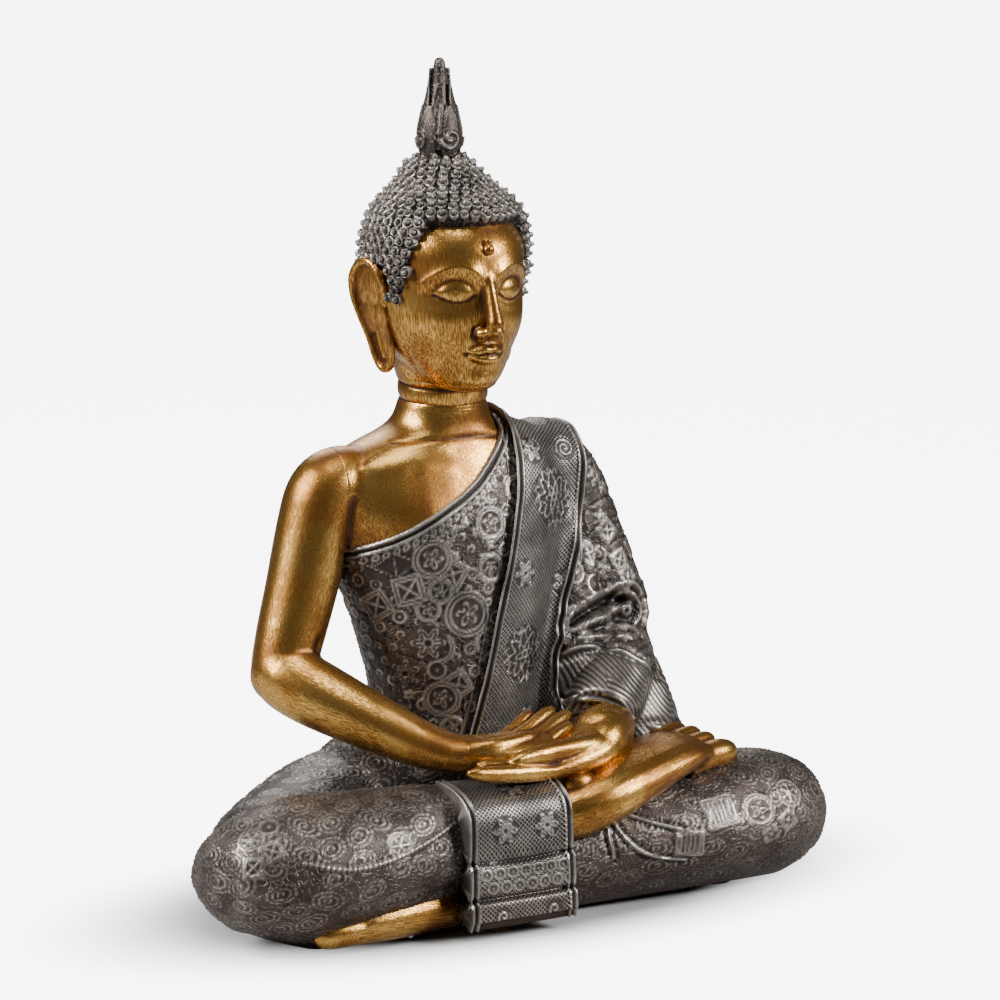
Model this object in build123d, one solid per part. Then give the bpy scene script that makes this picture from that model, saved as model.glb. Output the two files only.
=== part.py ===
"""A seated meditating figure, cast in resin as separate hollow and solid pieces that are pinned together.

The figure sits cross-legged and faces -Y, with +Z up. Its left is +X. The origin is on the floor, under
the middle of the whole figure. All sizes are in millimetres.
"""
from build123d import *
import os

# ---- overall sizes of the figure
overall_height = 400.0  # floor to the tip of the flame finial
overall_width = 338.0  # across the knees
overall_depth = 174.0  # front cloth to the back of the hips

# ---- castings
wall = 5.0  # thickness of the hollow castings
joint_wall = 12.0  # thicker bottom and top where a dowel is set
head_wall = 6.0
sash_thickness = 3.0

# ---- underside
pad_height = 2.0
pad_radius = 9.0
plate_thickness = 4.0
plate_length = 140.0
plate_width = 56.0
plate_ledge = 4.0  # width of the ledge that the plate is glued to
plate_clearance = 0.3
bung_radius = 7.0
bung_flange = 2.0  # how far the flange reaches past the hole
bung_flange_height = 1.2
bung_clearance = 0.1

# ---- dowels and pins
dowel_radius = 4.0
dowel_reach = 9.0  # depth of the dowel in each of the two pieces
pin_radius = 1.5
pin_reach = 6.0
pin_clearance = 0.1
hole_end_gap = 0.5  # room for glue past the end of a dowel

# The body was laid out on a figure of these sizes, and follows the overall sizes from them.
LAYOUT_HEIGHT, LAYOUT_WIDTH, LAYOUT_DEPTH = 400.0, 334.0, 172.0
LAYOUT_FLOOR = 7.0  # the layout height that stands on the pads
ALONG_X = overall_width / LAYOUT_WIDTH
ALONG_Y = overall_depth / LAYOUT_DEPTH
ALONG_Z = (overall_height - pad_height) / (LAYOUT_HEIGHT - LAYOUT_FLOOR)
GIRTH = (ALONG_X * ALONG_Y * ALONG_Z) ** (1 / 3)
FAR = 2.0 * (overall_height + overall_width + overall_depth)


def spot(x, y, z):
    """A layout point, carried to the figure's own sizes."""
    return Vector(x * ALONG_X, y * ALONG_Y, pad_height + (z - LAYOUT_FLOOR) * ALONG_Z)


def upright(levels, grow=0.0):
    """A solid through level ellipses. Each level is (x, y, z, half width, half depth)."""
    faces = []
    for x, y, z, a, b in levels:
        plane = Plane(origin=spot(x, y, z), x_dir=(1, 0, 0), z_dir=(0, 0, 1))
        faces.append(plane * Ellipse(a * ALONG_X + grow, b * ALONG_Y + grow))
    return loft(faces)


def limb(stations, grow=0.0):
    """A solid along a limb. Each station is (x, y, z, half width across, half height)."""
    centres = [spot(*s[:3]) for s in stations]
    faces = []
    for i, station in enumerate(stations):
        before, after = centres[max(i - 1, 0)], centres[min(i + 1, len(centres) - 1)]
        along = (after - before).normalized()
        across = along.cross(Vector(0, 0, 1)).normalized()
        plane = Plane(origin=centres[i], x_dir=across, z_dir=along)
        faces.append(plane * Ellipse(station[3] * GIRTH + grow, station[4] * GIRTH + grow))
    return loft(faces)


def mirrored(stations):
    return [(-s[0], *s[1:]) for s in stations]


def slab(z_low, z_high):
    """Everything between two heights."""
    return Pos(0, 0, (z_low + z_high) / 2) * Box(FAR, FAR, z_high - z_low)


def rod(start, end, radius):
    """A round bar between two points."""
    start, end = Vector(start), Vector(end)
    plane = Plane(origin=start, z_dir=(end - start).normalized())
    return extrude(plane * Circle(radius), (end - start).length)


def dowel_at(point, direction, radius, reach):
    """A dowel centred on a joint face, and the hole for it."""
    point, direction = Vector(point), Vector(direction).normalized()
    dowel = rod(point - direction * reach, point + direction * reach, radius)
    gap = reach + hole_end_gap
    hole = rod(point - direction * gap, point + direction * gap, radius + pin_clearance)
    return dowel, hole


def biggest(shape):
    """The main solid of a cut, without the crumbs that a cut can leave."""
    return max(shape.solids(), key=lambda s: s.volume)


# ---- crossed legs -------------------------------------------------------------------------------
RIGHT_THIGH = [
    (-28, 44, 41, 32, 31),
    (-60, 27, 40, 36, 33),
    (-92, 1, 37, 37, 33),
    (-119, -25, 36, 34, 31),
    (-134, -41, 37, 20, 21),
]
RIGHT_CALF = [
    (-164, -42, 38, 6, 6),
    (-159, -42, 38, 19, 18),
    (-146, -43, 38, 31, 29),
    (-120, -46, 39, 38, 35),
    (-85, -49, 41, 35, 33),
    (-50, -51, 43, 27, 30),
    (-16, -54, 46, 20, 22),
    (14, -57, 52, 16, 17),
]
LEFT_THIGH = [
    (28, 44, 40, 32, 30),
    (60, 27, 39, 36, 31),
    (92, 1, 36, 36, 31),
    (120, -25, 34, 33, 29),
    (135, -40, 34, 20, 20),
]
LEFT_CALF = [
    (169, -42, 34, 6, 6),
    (164, -42, 34, 19, 17),
    (151, -43, 34, 31, 27),
    (124, -46, 34, 38, 31),
    (85, -48, 34, 36, 30),
    (50, -49, 32, 29, 28),
    (14, -50, 28, 22, 24),
    (-18, -52, 25, 17, 20),
]
PELVIS = [
    (0, 24, 2, 66, 42),
    (0, 27, 18, 84, 53),
    (0, 28, 42, 88, 56),
    (0, 27, 62, 74, 50),
    (0, 22, 80, 52, 40),
]
WAIST_Z = 66.0
LAP_MASS = [(0, -10, 2, 112, 50), (0, -12, 20, 120, 56), (0, -14, 44, 112, 52), (0, -10, 62, 84, 40)]


def leg_masses(grow=0.0):
    return [
        upright(PELVIS, grow),
        limb(RIGHT_THIGH, grow),
        limb(LEFT_THIGH, grow),
        limb(RIGHT_CALF, grow),
        limb(LEFT_CALF, grow),
        upright(LAP_MASS, grow),
    ]


def joined(shapes):
    total = shapes[0]
    for shape in shapes[1:]:
        total = total + shape
    return total


PLATE_Y = -2.0
BACK_PADS, FRONT_PADS = (42, 46), (108, -46)


def plate_outline(grow=0.0):
    """The round-ended outline of the plate under the legs."""
    return Pos(0, PLATE_Y * ALONG_Y) * SlotOverall(plate_length + 2 * grow, plate_width + 2 * grow)


def lap_cavity():
    """The hollow in the legs, closed off above by a thick seat for the waist dowels."""
    hollow = joined([upright(PELVIS, -wall), upright(LAP_MASS, -wall)])
    floor_z = pad_height + plate_thickness + plate_ledge
    hollow = hollow & slab(floor_z, spot(0, 0, WAIST_Z).Z - joint_wall)
    mouth = extrude(plate_outline(-plate_ledge), floor_z + wall)
    rebate = extrude(plate_outline(plate_clearance), pad_height + plate_thickness)
    return hollow + mouth + rebate


# ---- torso, split along the edge of the robe -----------------------------------------------------
TORSO = [
    (0, 18, WAIST_Z, 43, 34),
    (0, 19, 85, 40, 33),
    (0, 20, 105, 40, 33),
    (0, 22, 130, 46, 35),
    (0, 25, 152, 53, 37),
    (0, 28, 175, 60, 38),
    (0, 30, 195, 65, 36),
    (0, 31, 209, 62, 31),
    (0, 31, 218, 48, 27),
    (0, 30, 225, 31, 24),
    (0, 29, 229, 24, 22),
]
NECK_Z = 229.0
ROBE_EDGE_NECK = (24.0, 226.0)  # x and z where the robe's edge leaves the neck
ROBE_EDGE_ARMPIT = (-56.0, 170.0)  # x and z where it goes under the right arm


def above_robe_edge():
    """The half space over the slanting edge of the robe."""
    high = spot(ROBE_EDGE_NECK[0], 0, ROBE_EDGE_NECK[1])
    low = spot(ROBE_EDGE_ARMPIT[0], 0, ROBE_EDGE_ARMPIT[1])
    plane = Plane(origin=low, x_dir=(high - low).normalized(), z_dir=(0, -1, 0))
    half = Pos(0, FAR / 2, 0) * Rectangle(FAR, FAR)
    return extrude(plane * half, FAR, both=True)


def torso_cavity():
    hollow = upright(TORSO, -wall)
    low = spot(0, 0, WAIST_Z).Z + joint_wall
    return hollow & slab(low, spot(0, 0, NECK_Z).Z - joint_wall)


# ---- arms, hands and feet -------------------------------------------------------------------------
SHOULDER, SHOULDER_RADIUS = (-57, 30, 200), 18.5
UPPER_ARM = [
    (-61, 30, 202, 14, 14),
    (-65, 30, 190, 17.5, 17.5),
    (-71, 28.5, 172, 18, 18),
    (-77, 26, 155, 17, 17.5),
    (-86, 22, 131, 16, 16.5),
    (-92, 19, 112, 13, 13),
]
FOREARM = [
    (-97, 28, 120, 9, 9),
    (-93, 20, 117, 15, 15),
    (-82, 4, 108, 16.5, 15.5),
    (-66, -15, 99, 15, 14),
    (-50, -32, 90, 12.5, 11.5),
    (-37, -44, 85, 12, 9.5),
]
WRIST = 5
RIGHT_HAND = [
    FOREARM[WRIST],
    (-20, -52, 84, 16, 8),
    (0, -54, 86, 17, 7),
    (18, -50, 90, 15, 6),
    (33, -45, 94, 12, 4.5),
    (44, -41, 97, 6, 3),
]
LEFT_HAND = [
    (56, -34, 88, 13, 11),
    (42, -48, 84, 17, 10),
    (22, -57, 80, 18, 8.5),
    (2, -63, 79, 17, 7),
    (-18, -67, 79, 15, 6.5),
    (-36, -70, 80, 10, 5),
    (-44, -71, 80, 5, 3),
]
LEFT_THUMB = [(34, -60, 87, 9, 7), (14, -68, 90, 6.5, 5.5), (-6, -71, 91, 5.5, 5), (-15, -71, 91, 3, 3)]
RIGHT_FOOT = [
    (10, -60, 56, 13, 12),
    (28, -63, 62, 17, 14),
    (48, -58, 68, 18, 11.5),
    (72, -52, 74, 20, 10.5),
    (96, -47, 77, 20, 9),
    (112, -44, 77, 16, 7.5),
    (120, -43, 76, 9, 5),
]
LEFT_FOOT = [
    (-30, -62, 18, 12, 15),
    (-52, -68, 17, 11, 14),
    (-76, -71, 15, 10, 12.5),
    (-96, -70, 13, 9.5, 10.5),
    (-110, -67, 12, 6, 8),
]

# ---- left sleeve ------------------------------------------------------------------------------------
SLEEVE_UPPER = [
    (40, 30, 201, 17, 17),
    (55, 30, 203, 20, 19),
    (67, 29, 194, 20, 19),
    (75, 27, 172, 20, 20),
    (81, 24, 148, 21, 22),
    (86, 19, 125, 20, 22),
    (87, 14, 108, 17, 18),
]
SLEEVE_LOWER = [
    (93, 25, 116, 10, 12),
    (87, 16, 112, 20, 20),
    (76, -2, 103, 21, 20),
    (62, -20, 95, 19, 18),
    (50, -33, 89, 16, 14),
]
SLEEVE_TAIL = [
    (80, 10, 122, 21, 20),
    (80, 2, 102, 24, 26),
    (80, -4, 86, 27, 30),
    (82, -6, 70, 30, 32),
]
SLEEVE_WEB = [
    (50, 22, 190, 14, 14),
    (56, 20, 165, 20, 18),
    (60, 14, 130, 24, 22),
    (62, 4, 100, 26, 28),
    (62, 0, 72, 28, 30),
]

# ---- draped cloth -----------------------------------------------------------------------------------
SASH_TOP_Z, SASH_FOOT_Z = 240.0, 70.0
SASH_TOP_X = (35.0, 84.0)
SASH_FOOT_X = (-17.0, 40.0)
CLOTH_X, CLOTH_WIDTH = -19.0, 54.0  # the hanging cloth's middle and width
CLOTH_PROFILE = [(-34, 50), (-34, 72), (-56, 72), (-70, 71), (-79, 66), (-83, 56), (-86, 8), (-40, 8)]

# ---- head -------------------------------------------------------------------------------------------
HEAD = [
    (0, 29, NECK_Z, 23, 21.5),
    (0, 28, 238, 21.5, 21),
    (0, 27, 248, 22, 23),
    (0, 25, 256, 26, 30),
    (0, 24, 266, 31, 36),
    (0, 24, 280, 34.5, 40),
    (0, 25, 296, 36, 42),
    (0, 25, 312, 35.5, 41),
    (0, 26, 324, 31, 36),
    (0, 26, 333, 21, 25),
    (0, 26, 338, 10, 12),
]
HAIR = [
    (0, 33, 256, 22, 27),
    (0, 31, 268, 30, 35),
    (0, 28, 284, 36.5, 41.5),
    (0, 26, 300, 39, 44),
    (0, 25, 314, 39.5, 44),
    (0, 24, 326, 36.5, 41),
    (0, 24, 336, 31, 34),
    (0, 26, 343, 25, 26.5),
    (0, 28, 349, 20, 20.5),
    (0, 30, 353, 13, 13),
]
HAIR_TOP_Z = 353.0
HAIRLINE_Y, HAIRLINE_Z = -1.0, 327.0  # the hair stops behind this y, except above this z
SIDEBURN_Z = 286.0  # the hair in front of the ears ends here
NAPE_Y, NAPE_Z = 60.0, 262.0
EAR = [
    (30, 26, 256, 3.5, 5),
    (31, 26, 262, 4.5, 7),
    (33, 26, 276, 4.5, 7.5),
    (35.5, 28, 290, 5, 9.5),
    (37, 30, 299, 5, 10),
    (37, 31, 305, 4, 7),
]
HEAD_HOLLOW_FROM = 5  # the head is hollow from this level up, open under the hair
FINIAL_AXIS = (0, 30)
FINIAL = [(HAIR_TOP_Z, 8.0), (358, 11.0), (364, 12.0), (372, 10.5), (381, 7.0), (388, 4.2), (397, 3.0)]
URNA_SPOT, URNA_RADIUS = (0, -15.5, 313), 3.4


def hair_limits():
    """What is cut off the hair: the face in front, and what hangs below the ears and nape."""
    front_edge, front_low = spot(0, HAIRLINE_Y, 0).Y, spot(0, 0, HAIRLINE_Z).Z
    face = Pos(0, front_edge - FAR / 2, front_low - FAR / 2) * Box(FAR, FAR, FAR)
    front, back = spot(0, HAIRLINE_Y, SIDEBURN_Z), spot(0, NAPE_Y, NAPE_Z)
    plane = Plane(origin=front, x_dir=(back - front).normalized(), z_dir=(1, 0, 0))
    below = extrude(plane * Pos(0, -FAR / 2, 0) * Rectangle(FAR, FAR), FAR, both=True)
    return face, below


def finial_solid():
    """The flame, turned about its own axis."""
    axis = spot(*FINIAL_AXIS, 0)
    rings = []
    for z, radius in FINIAL:
        plane = Plane(origin=(axis.X, axis.Y, spot(0, 0, z).Z), x_dir=(1, 0, 0), z_dir=(0, 0, 1))
        rings.append(plane * Circle(radius * GIRTH))
    tip_radius = FINIAL[-1][1] * GIRTH
    dome = Pos(axis.X, axis.Y, spot(0, 0, FINIAL[-1][0]).Z) * Sphere(tip_radius)
    return loft(rings) + dome


def torso_pieces(torso, pieces):
    """The hollow torso, split along the edge of the robe."""
    hollow = torso - torso_cavity()
    bare_side = above_robe_edge()
    pieces["chest_casting"] = hollow & bare_side
    pieces["robe_torso"] = hollow - bare_side


def sash_piece(torso, lap):
    """The folded cloth over the left shoulder: a skin on the torso between two slanting lines."""
    corners = [
        (SASH_FOOT_X[0], SASH_FOOT_Z),
        (SASH_FOOT_X[1], SASH_FOOT_Z),
        (SASH_TOP_X[1], SASH_TOP_Z),
        (SASH_TOP_X[0], SASH_TOP_Z),
    ]
    outline = Polyline(*[spot(x, 0, z) for x, z in corners], close=True)
    strip = extrude(make_face(outline.edges()), FAR, both=True)
    return biggest((upright(TORSO, sash_thickness) & strip) - torso - lap)


def head_pieces(pieces):
    """Head, hair, ears, forehead mark and the flame on top."""
    head = upright(HEAD)
    face_block, below_block = hair_limits()
    hair = biggest(upright(HAIR) - head - face_block - below_block)
    hollow_levels = HEAD[HEAD_HOLLOW_FROM:]
    pieces["head_casting"] = head - upright(hollow_levels, -head_wall)
    pieces["hair_cap"] = hair
    pieces["left_ear"] = biggest(upright(EAR) - head - hair)
    pieces["right_ear"] = biggest(upright(mirrored(EAR)) - head - hair)
    pieces["urna"] = Pos(*spot(*URNA_SPOT)) * Sphere(URNA_RADIUS * GIRTH) - head - hair
    pieces["flame_finial"] = biggest(finial_solid() - hair)


def limb_pieces(torso, sash, lap, pieces):
    """Arms, hands and feet. Each is bedded on what was made before it."""
    shapes = [limb(SLEEVE_UPPER), limb(SLEEVE_LOWER), upright(SLEEVE_TAIL), upright(SLEEVE_WEB)]
    sleeve = biggest(joined(shapes) - torso - sash - lap)
    shoulder = Pos(*spot(*SHOULDER)) * Sphere(SHOULDER_RADIUS * GIRTH)
    arm = biggest(limb(UPPER_ARM) + limb(FOREARM) + shoulder - torso - sash - lap)
    left_hand = biggest(limb(LEFT_HAND) + limb(LEFT_THUMB) - lap - sleeve)
    pieces["left_sleeve"] = sleeve
    pieces["right_arm"] = arm
    pieces["left_hand"] = left_hand
    pieces["right_hand"] = biggest(limb(RIGHT_HAND) - lap - left_hand - arm - sleeve - sash)
    pieces["right_foot"] = biggest(limb(RIGHT_FOOT) - lap - left_hand - sleeve)
    pieces["left_foot"] = biggest(limb(LEFT_FOOT) - slab(-FAR, pad_height) - lap)


def cloth_piece(lap, pieces):
    """The end of the robe that hangs down over the crossed shins."""
    profile = Polyline(*[spot(0, y, z) for y, z in CLOTH_PROFILE], close=True)
    half_width = CLOTH_WIDTH * ALONG_X / 2
    cloth = Pos(CLOTH_X * ALONG_X, 0, 0) * extrude(make_face(profile.edges()), half_width, both=True)
    for name in ("left_hand", "right_hand", "left_foot", "right_foot", "right_arm"):
        cloth = cloth - pieces[name]
    return biggest(cloth - lap)


def underside_pieces(pieces):
    """The plate that closes the legs, its rubber bung and the felt pads."""
    plate = Pos(0, 0, pad_height) * extrude(plate_outline(), plate_thickness)
    middle = (0, PLATE_Y * ALONG_Y)
    hole = Pos(*middle, pad_height) * Cylinder(bung_radius, 3 * plate_thickness)
    pieces["base_plate"] = plate - hole
    shank_height = plate_thickness + bung_flange
    shank = extrude(Plane((*middle, pad_height)) * Circle(bung_radius - bung_clearance), shank_height)
    flange = extrude(Plane((*middle, pad_height)) * Circle(bung_radius + bung_flange), -bung_flange_height)
    pieces["rubber_bung"] = shank + flange
    pads = []
    for x, y in (BACK_PADS, FRONT_PADS):
        for side in (-1, 1):
            place = (side * x * ALONG_X, y * ALONG_Y, 0)
            pads.append(extrude(Plane(place) * Circle(pad_radius), pad_height))
    pieces["felt_pads"] = Compound(pads)


DOWEL = (dowel_radius, dowel_reach)
PIN = (pin_radius, pin_reach)
# name, pieces it joins, layout point on the joint face, direction, radius and reach
JOINTS = [
    ("neck_dowel", ("head_casting", "chest_casting"), (0, 29, NECK_Z), (0, 0, 1), DOWEL),
    ("waist_dowels", ("robe_torso", "lap_casting"), (-22, 20, WAIST_Z), (0, 0, 1), DOWEL),
    ("waist_dowels", ("robe_torso", "lap_casting"), (22, 20, WAIST_Z), (0, 0, 1), DOWEL),
    ("shoulder_dowel", ("chest_casting", "right_arm"), (-65, 30, 196), (-1, 0, 0), DOWEL),
    ("sleeve_dowel", ("robe_torso", "shoulder_sash", "left_sleeve"), (64, 29, 188), (1, 0, 0), DOWEL),
    ("right_wrist_pin", ("right_arm", "right_hand"), (-37, -44, 85), (0.8, -0.6, 0), PIN),
    ("left_wrist_pin", ("left_sleeve", "left_hand"), (49, -36, 88), (-0.7, -0.7, 0), PIN),
    ("foot_pins", ("right_foot", "lap_casting"), (62, -52, 63), (0, 0, 1), PIN),
    ("foot_pins", ("left_foot", "lap_casting"), (-72, -64, 10), (0, 1, 0), PIN),
    ("cloth_pins", ("hanging_cloth", "lap_casting"), (-36, -76, 42), (0, 1, 0), PIN),
    ("cloth_pins", ("hanging_cloth", "lap_casting"), (-4, -73, 42), (0, 1, 0), PIN),
    ("finial_pin", ("flame_finial", "hair_cap"), (*FINIAL_AXIS, HAIR_TOP_Z), (0, 0, 1), PIN),
]


def pin_together(pieces):
    """Drills each joint and puts its dowel or pin in."""
    bars = {}
    for name, joins, point, direction, (radius, reach) in JOINTS:
        bar, hole = dowel_at(spot(*point), direction, radius, reach)
        for piece in joins:
            pieces[piece] = pieces[piece] - hole
        bars.setdefault(name, []).append(bar)
    for name, members in bars.items():
        pieces[name] = members[0] if len(members) == 1 else Compound(members)


def build():
    """Every piece of the figure, by name."""
    pieces = {}
    torso = upright(TORSO)
    lap = joined(leg_masses()) - slab(-FAR, pad_height) - torso
    torso_pieces(torso, pieces)
    pieces["shoulder_sash"] = sash_piece(torso, lap)
    head_pieces(pieces)
    limb_pieces(torso, pieces["shoulder_sash"], lap, pieces)
    pieces["hanging_cloth"] = cloth_piece(lap, pieces)
    pieces["lap_casting"] = lap - lap_cavity()
    underside_pieces(pieces)
    pin_together(pieces)
    return pieces


def centred(pieces):
    """The pieces, moved level so that the origin is under the middle of the whole figure."""
    box = Compound([solid for shape in pieces.values() for solid in shape.solids()]).bounding_box()
    middle = box.center()
    return {name: Pos(-middle.X, -middle.Y, 0) * shape for name, shape in pieces.items()}


os.makedirs("parts", exist_ok=True)
for piece_name, piece in centred(build()).items():
    solids = piece.solids()
    export_step(solids[0] if len(solids) == 1 else Compound(solids), f"parts/{piece_name}.step")
    print(piece_name, len(solids), round(sum(solid.volume for solid in solids)))
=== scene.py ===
"""Visual model of the seated figure: cast resin, gold-painted skin and a charcoal robe with raised ornament.

Shapes are built in the CAD's layout millimetres and carried to the frame, in metres, as the last step.
"""
import math
import random

import bmesh
import bpy
import numpy as np
from mathutils import Matrix, Vector
from mathutils.bvhtree import BVHTree


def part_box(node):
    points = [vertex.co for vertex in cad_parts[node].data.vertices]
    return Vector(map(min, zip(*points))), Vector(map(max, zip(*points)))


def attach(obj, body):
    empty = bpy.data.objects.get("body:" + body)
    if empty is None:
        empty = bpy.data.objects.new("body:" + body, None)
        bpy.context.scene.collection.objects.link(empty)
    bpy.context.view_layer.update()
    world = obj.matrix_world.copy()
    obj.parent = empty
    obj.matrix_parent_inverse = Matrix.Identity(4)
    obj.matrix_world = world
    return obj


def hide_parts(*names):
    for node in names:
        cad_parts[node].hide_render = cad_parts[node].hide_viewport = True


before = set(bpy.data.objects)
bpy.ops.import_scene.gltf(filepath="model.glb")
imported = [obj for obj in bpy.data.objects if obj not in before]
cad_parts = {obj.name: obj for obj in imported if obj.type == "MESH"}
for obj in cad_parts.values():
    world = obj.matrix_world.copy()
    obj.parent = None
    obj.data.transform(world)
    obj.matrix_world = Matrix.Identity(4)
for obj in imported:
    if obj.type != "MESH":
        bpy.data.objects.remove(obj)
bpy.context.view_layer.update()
random.seed(7)

# ---- from layout millimetres to the frame
LAYOUT_FLOOR, PAD_HEIGHT = 7.0, 2.0
STRETCH = np.array([338.0 / 334.0, 174.0 / 172.0, 398.0 / 393.0])
CENTRING = np.array([-2.53, 0.91, PAD_HEIGHT - LAYOUT_FLOOR * STRETCH[2]])


def in_frame(points):
    """Layout millimetres to metres in the frame."""
    return (points * STRETCH + CENTRING) / 1000.0


# ---- colours and nodes
def colour(code):
    """An sRGB hex colour as linear RGBA."""
    channels = [int(code[i : i + 2], 16) / 255.0 for i in (1, 3, 5)]
    return tuple(c / 12.92 if c <= 0.04045 else ((c + 0.055) / 1.055) ** 2.4 for c in channels) + (1.0,)


def add_node(material, kind, links=None, **settings):
    """Adds a shader node. links gives each input's number, colour or the output that feeds it."""
    tree = material.node_tree
    node = tree.nodes.new(kind)
    for name, value in settings.items():
        setattr(node, name, value)
    for name, value in (links or {}).items():
        if isinstance(value, bpy.types.NodeSocket):
            tree.links.new(value, node.inputs[name])
        else:
            node.inputs[name].default_value = value
    return node


def set_ramp(node, stops):
    """Sets a colour ramp's stops, each (position, colour)."""
    ramp = node.color_ramp
    while len(ramp.elements) < len(stops):
        ramp.elements.new(1.0)
    for element, (position, value) in zip(ramp.elements, stops):
        element.position = position
        element.color = value


# ---- smooth rows of numbers, and arrays of a mesh
def smooth_rows(rows, steps):
    """Passes a smooth curve through rows of numbers, with steps between each pair."""
    rows = np.array(rows, float)
    padded = np.vstack([2 * rows[0] - rows[1], rows, 2 * rows[-1] - rows[-2]])
    made = []
    for i in range(len(rows) - 1):
        before, start, end, after = padded[i : i + 4]
        for step in range(steps):
            t = step / steps
            made.append(
                0.5
                * (
                    2 * start
                    + (end - before) * t
                    + (2 * before - 5 * start + 4 * end - after) * t**2
                    + (3 * start - before - 3 * end + after) * t**3
                )
            )
    made.append(rows[-1])
    return np.array(made)


def read_points(mesh):
    flat = np.empty(len(mesh.vertices) * 3)
    mesh.vertices.foreach_get("co", flat)
    return flat.reshape(-1, 3)


def read_normals(mesh):
    flat = np.empty(len(mesh.vertices) * 3)
    mesh.vertices.foreach_get("normal", flat)
    return flat.reshape(-1, 3)


def read_edges(mesh):
    flat = np.empty(len(mesh.edges) * 2, dtype=np.int32)
    mesh.edges.foreach_get("vertices", flat)
    return flat.reshape(-1, 2)


def write_points(mesh, points):
    mesh.vertices.foreach_set("co", np.ascontiguousarray(points, dtype=np.float32).ravel())
    mesh.update()


def as_mesh(bm):
    """The bmesh as a mesh, and the bmesh is freed."""
    mesh = bpy.data.meshes.new("shape")
    bm.to_mesh(mesh)
    bm.free()
    return mesh


def averaged(values, edges, rounds, pull=0.5):
    """Evens out values, one row for each vertex, along the edges."""
    values = values.astype(float)
    count = len(values)
    ends = np.concatenate([edges[:, 0], edges[:, 1]])
    others = np.concatenate([edges[:, 1], edges[:, 0]])
    degree = np.maximum(np.bincount(ends, minlength=count), 1)
    flat = values.reshape(count, -1)
    for _ in range(rounds):
        for axis in range(flat.shape[1]):
            mean = np.bincount(ends, weights=flat[others, axis], minlength=count) / degree
            flat[:, axis] += pull * (mean - flat[:, axis])
    return flat.reshape(values.shape)


def step(low, high, value):
    """0 below low, 1 above high, smooth between."""
    t = np.clip((value - low) / (high - low), 0.0, 1.0)
    return t * t * (3 - 2 * t)


def bump(value, width):
    """1 at 0, falling smoothly to nothing beyond width."""
    return np.exp(-((value / width) ** 2))


# ---- clay: shapes laid over each other, then made one skin
# The side of a cell of each skin, in mm. A skin has small cells where fine lines are drawn on it.
CHEST_CELL, ROBE_CELL, LEG_CELL = 1.15, 0.9, 1.05
HAND_CELL, FOOT_CELL, EAR_CELL = 0.75, 0.85, 0.5
SKULL_CELL, FACE_CELL, HAIR_CELL, FLAME_CELL, MARK_CELL = 1.0, 0.72, 1.1, 0.42, 0.35


def close_holes(bm):
    bmesh.ops.holes_fill(bm, edges=[edge for edge in bm.edges if edge.is_boundary], sides=0)


def limb(bm, rows, level=False, sides=32, steps=5, facing=(0, 0, 1)):
    """Adds a closed limb. Each row is (x, y, z, half width across, half height, the way it faces)."""
    path = smooth_rows(rows, steps)
    last = len(path) - 1
    verts = bmesh.ops.create_grid(bm, x_segments=last, y_segments=sides, size=0.5)["verts"]
    for vert in verts:
        row = round((vert.co.x + 0.5) * last)
        centre = Vector(path[row][:3])
        if level:
            across, up = Vector((1, 0, 0)), Vector((0, 1, 0))
        else:
            along = Vector(path[min(row + 1, last)][:3] - path[max(row - 1, 0)][:3]).normalized()
            across = along.cross(Vector(facing)).normalized()
            up = across.cross(along)
        angle = (vert.co.y + 0.5) * math.tau
        vert.co = centre + across * path[row][3] * math.cos(angle) + up * path[row][4] * math.sin(angle)
    bmesh.ops.remove_doubles(bm, verts=verts, dist=1e-5)
    close_holes(bm)


BALL_SIDES = 32


def ball(bm, centre, radii, turn=(0, 0, 0)):
    """Adds an ellipsoid. turn is in degrees about X, Y and Z."""
    place = Matrix.Translation(centre)
    for angle, axis in zip(turn, "XYZ"):
        place = place @ Matrix.Rotation(math.radians(angle), 4, axis)
    place = place @ Matrix.Diagonal((*radii, 1.0))
    bmesh.ops.create_uvsphere(bm, u_segments=BALL_SIDES, v_segments=BALL_SIDES // 2, radius=1.0, matrix=place)


def evaluated(mesh, kind, **settings):
    """The mesh after one modifier."""
    holder = bpy.data.objects.new("holder", mesh)
    bpy.context.collection.objects.link(holder)
    modifier = holder.modifiers.new("shape", kind)
    for name, value in settings.items():
        setattr(modifier, name, value)
    graph = bpy.context.evaluated_depsgraph_get()
    made = bpy.data.meshes.new_from_object(holder.evaluated_get(graph))
    bpy.data.objects.remove(holder)
    bpy.data.meshes.remove(mesh)
    return made


def one_skin(bm, cell, rounds):
    """All of the clay as one closed skin, evened out by that many rounds."""
    mesh = as_mesh(bm)
    mesh = evaluated(mesh, "REMESH", mode="VOXEL", voxel_size=cell)
    write_points(mesh, averaged(read_points(mesh), read_edges(mesh), rounds))
    return mesh


def pushed(mesh, amount):
    """Moves each vertex along its normal."""
    write_points(mesh, read_points(mesh) + read_normals(mesh) * amount[:, None])


def nearest_on_path(points, path):
    """Distance from each point to a polyline, and how far along it the nearest spot is."""
    path = np.array(path, float)
    best = np.full(len(points), 1e9)
    along = np.zeros(len(points))
    travelled = 0.0
    for start, end in zip(path[:-1], path[1:]):
        run = end - start
        length = np.linalg.norm(run)
        t = np.clip(((points - start) @ run) / length**2, 0.0, 1.0)
        distance = np.linalg.norm(points - start - t[:, None] * run, axis=1)
        closer = distance < best
        best[closer] = distance[closer]
        along[closer] = travelled + t[closer] * length
        travelled += length
    return best, along


def note(mesh, name, values):
    """Keeps a number for each vertex, for the paint."""
    attribute = mesh.attributes.get(name) or mesh.attributes.new(name, "FLOAT", "POINT")
    attribute.data.foreach_set("value", np.ascontiguousarray(values, dtype=np.float32))


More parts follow.
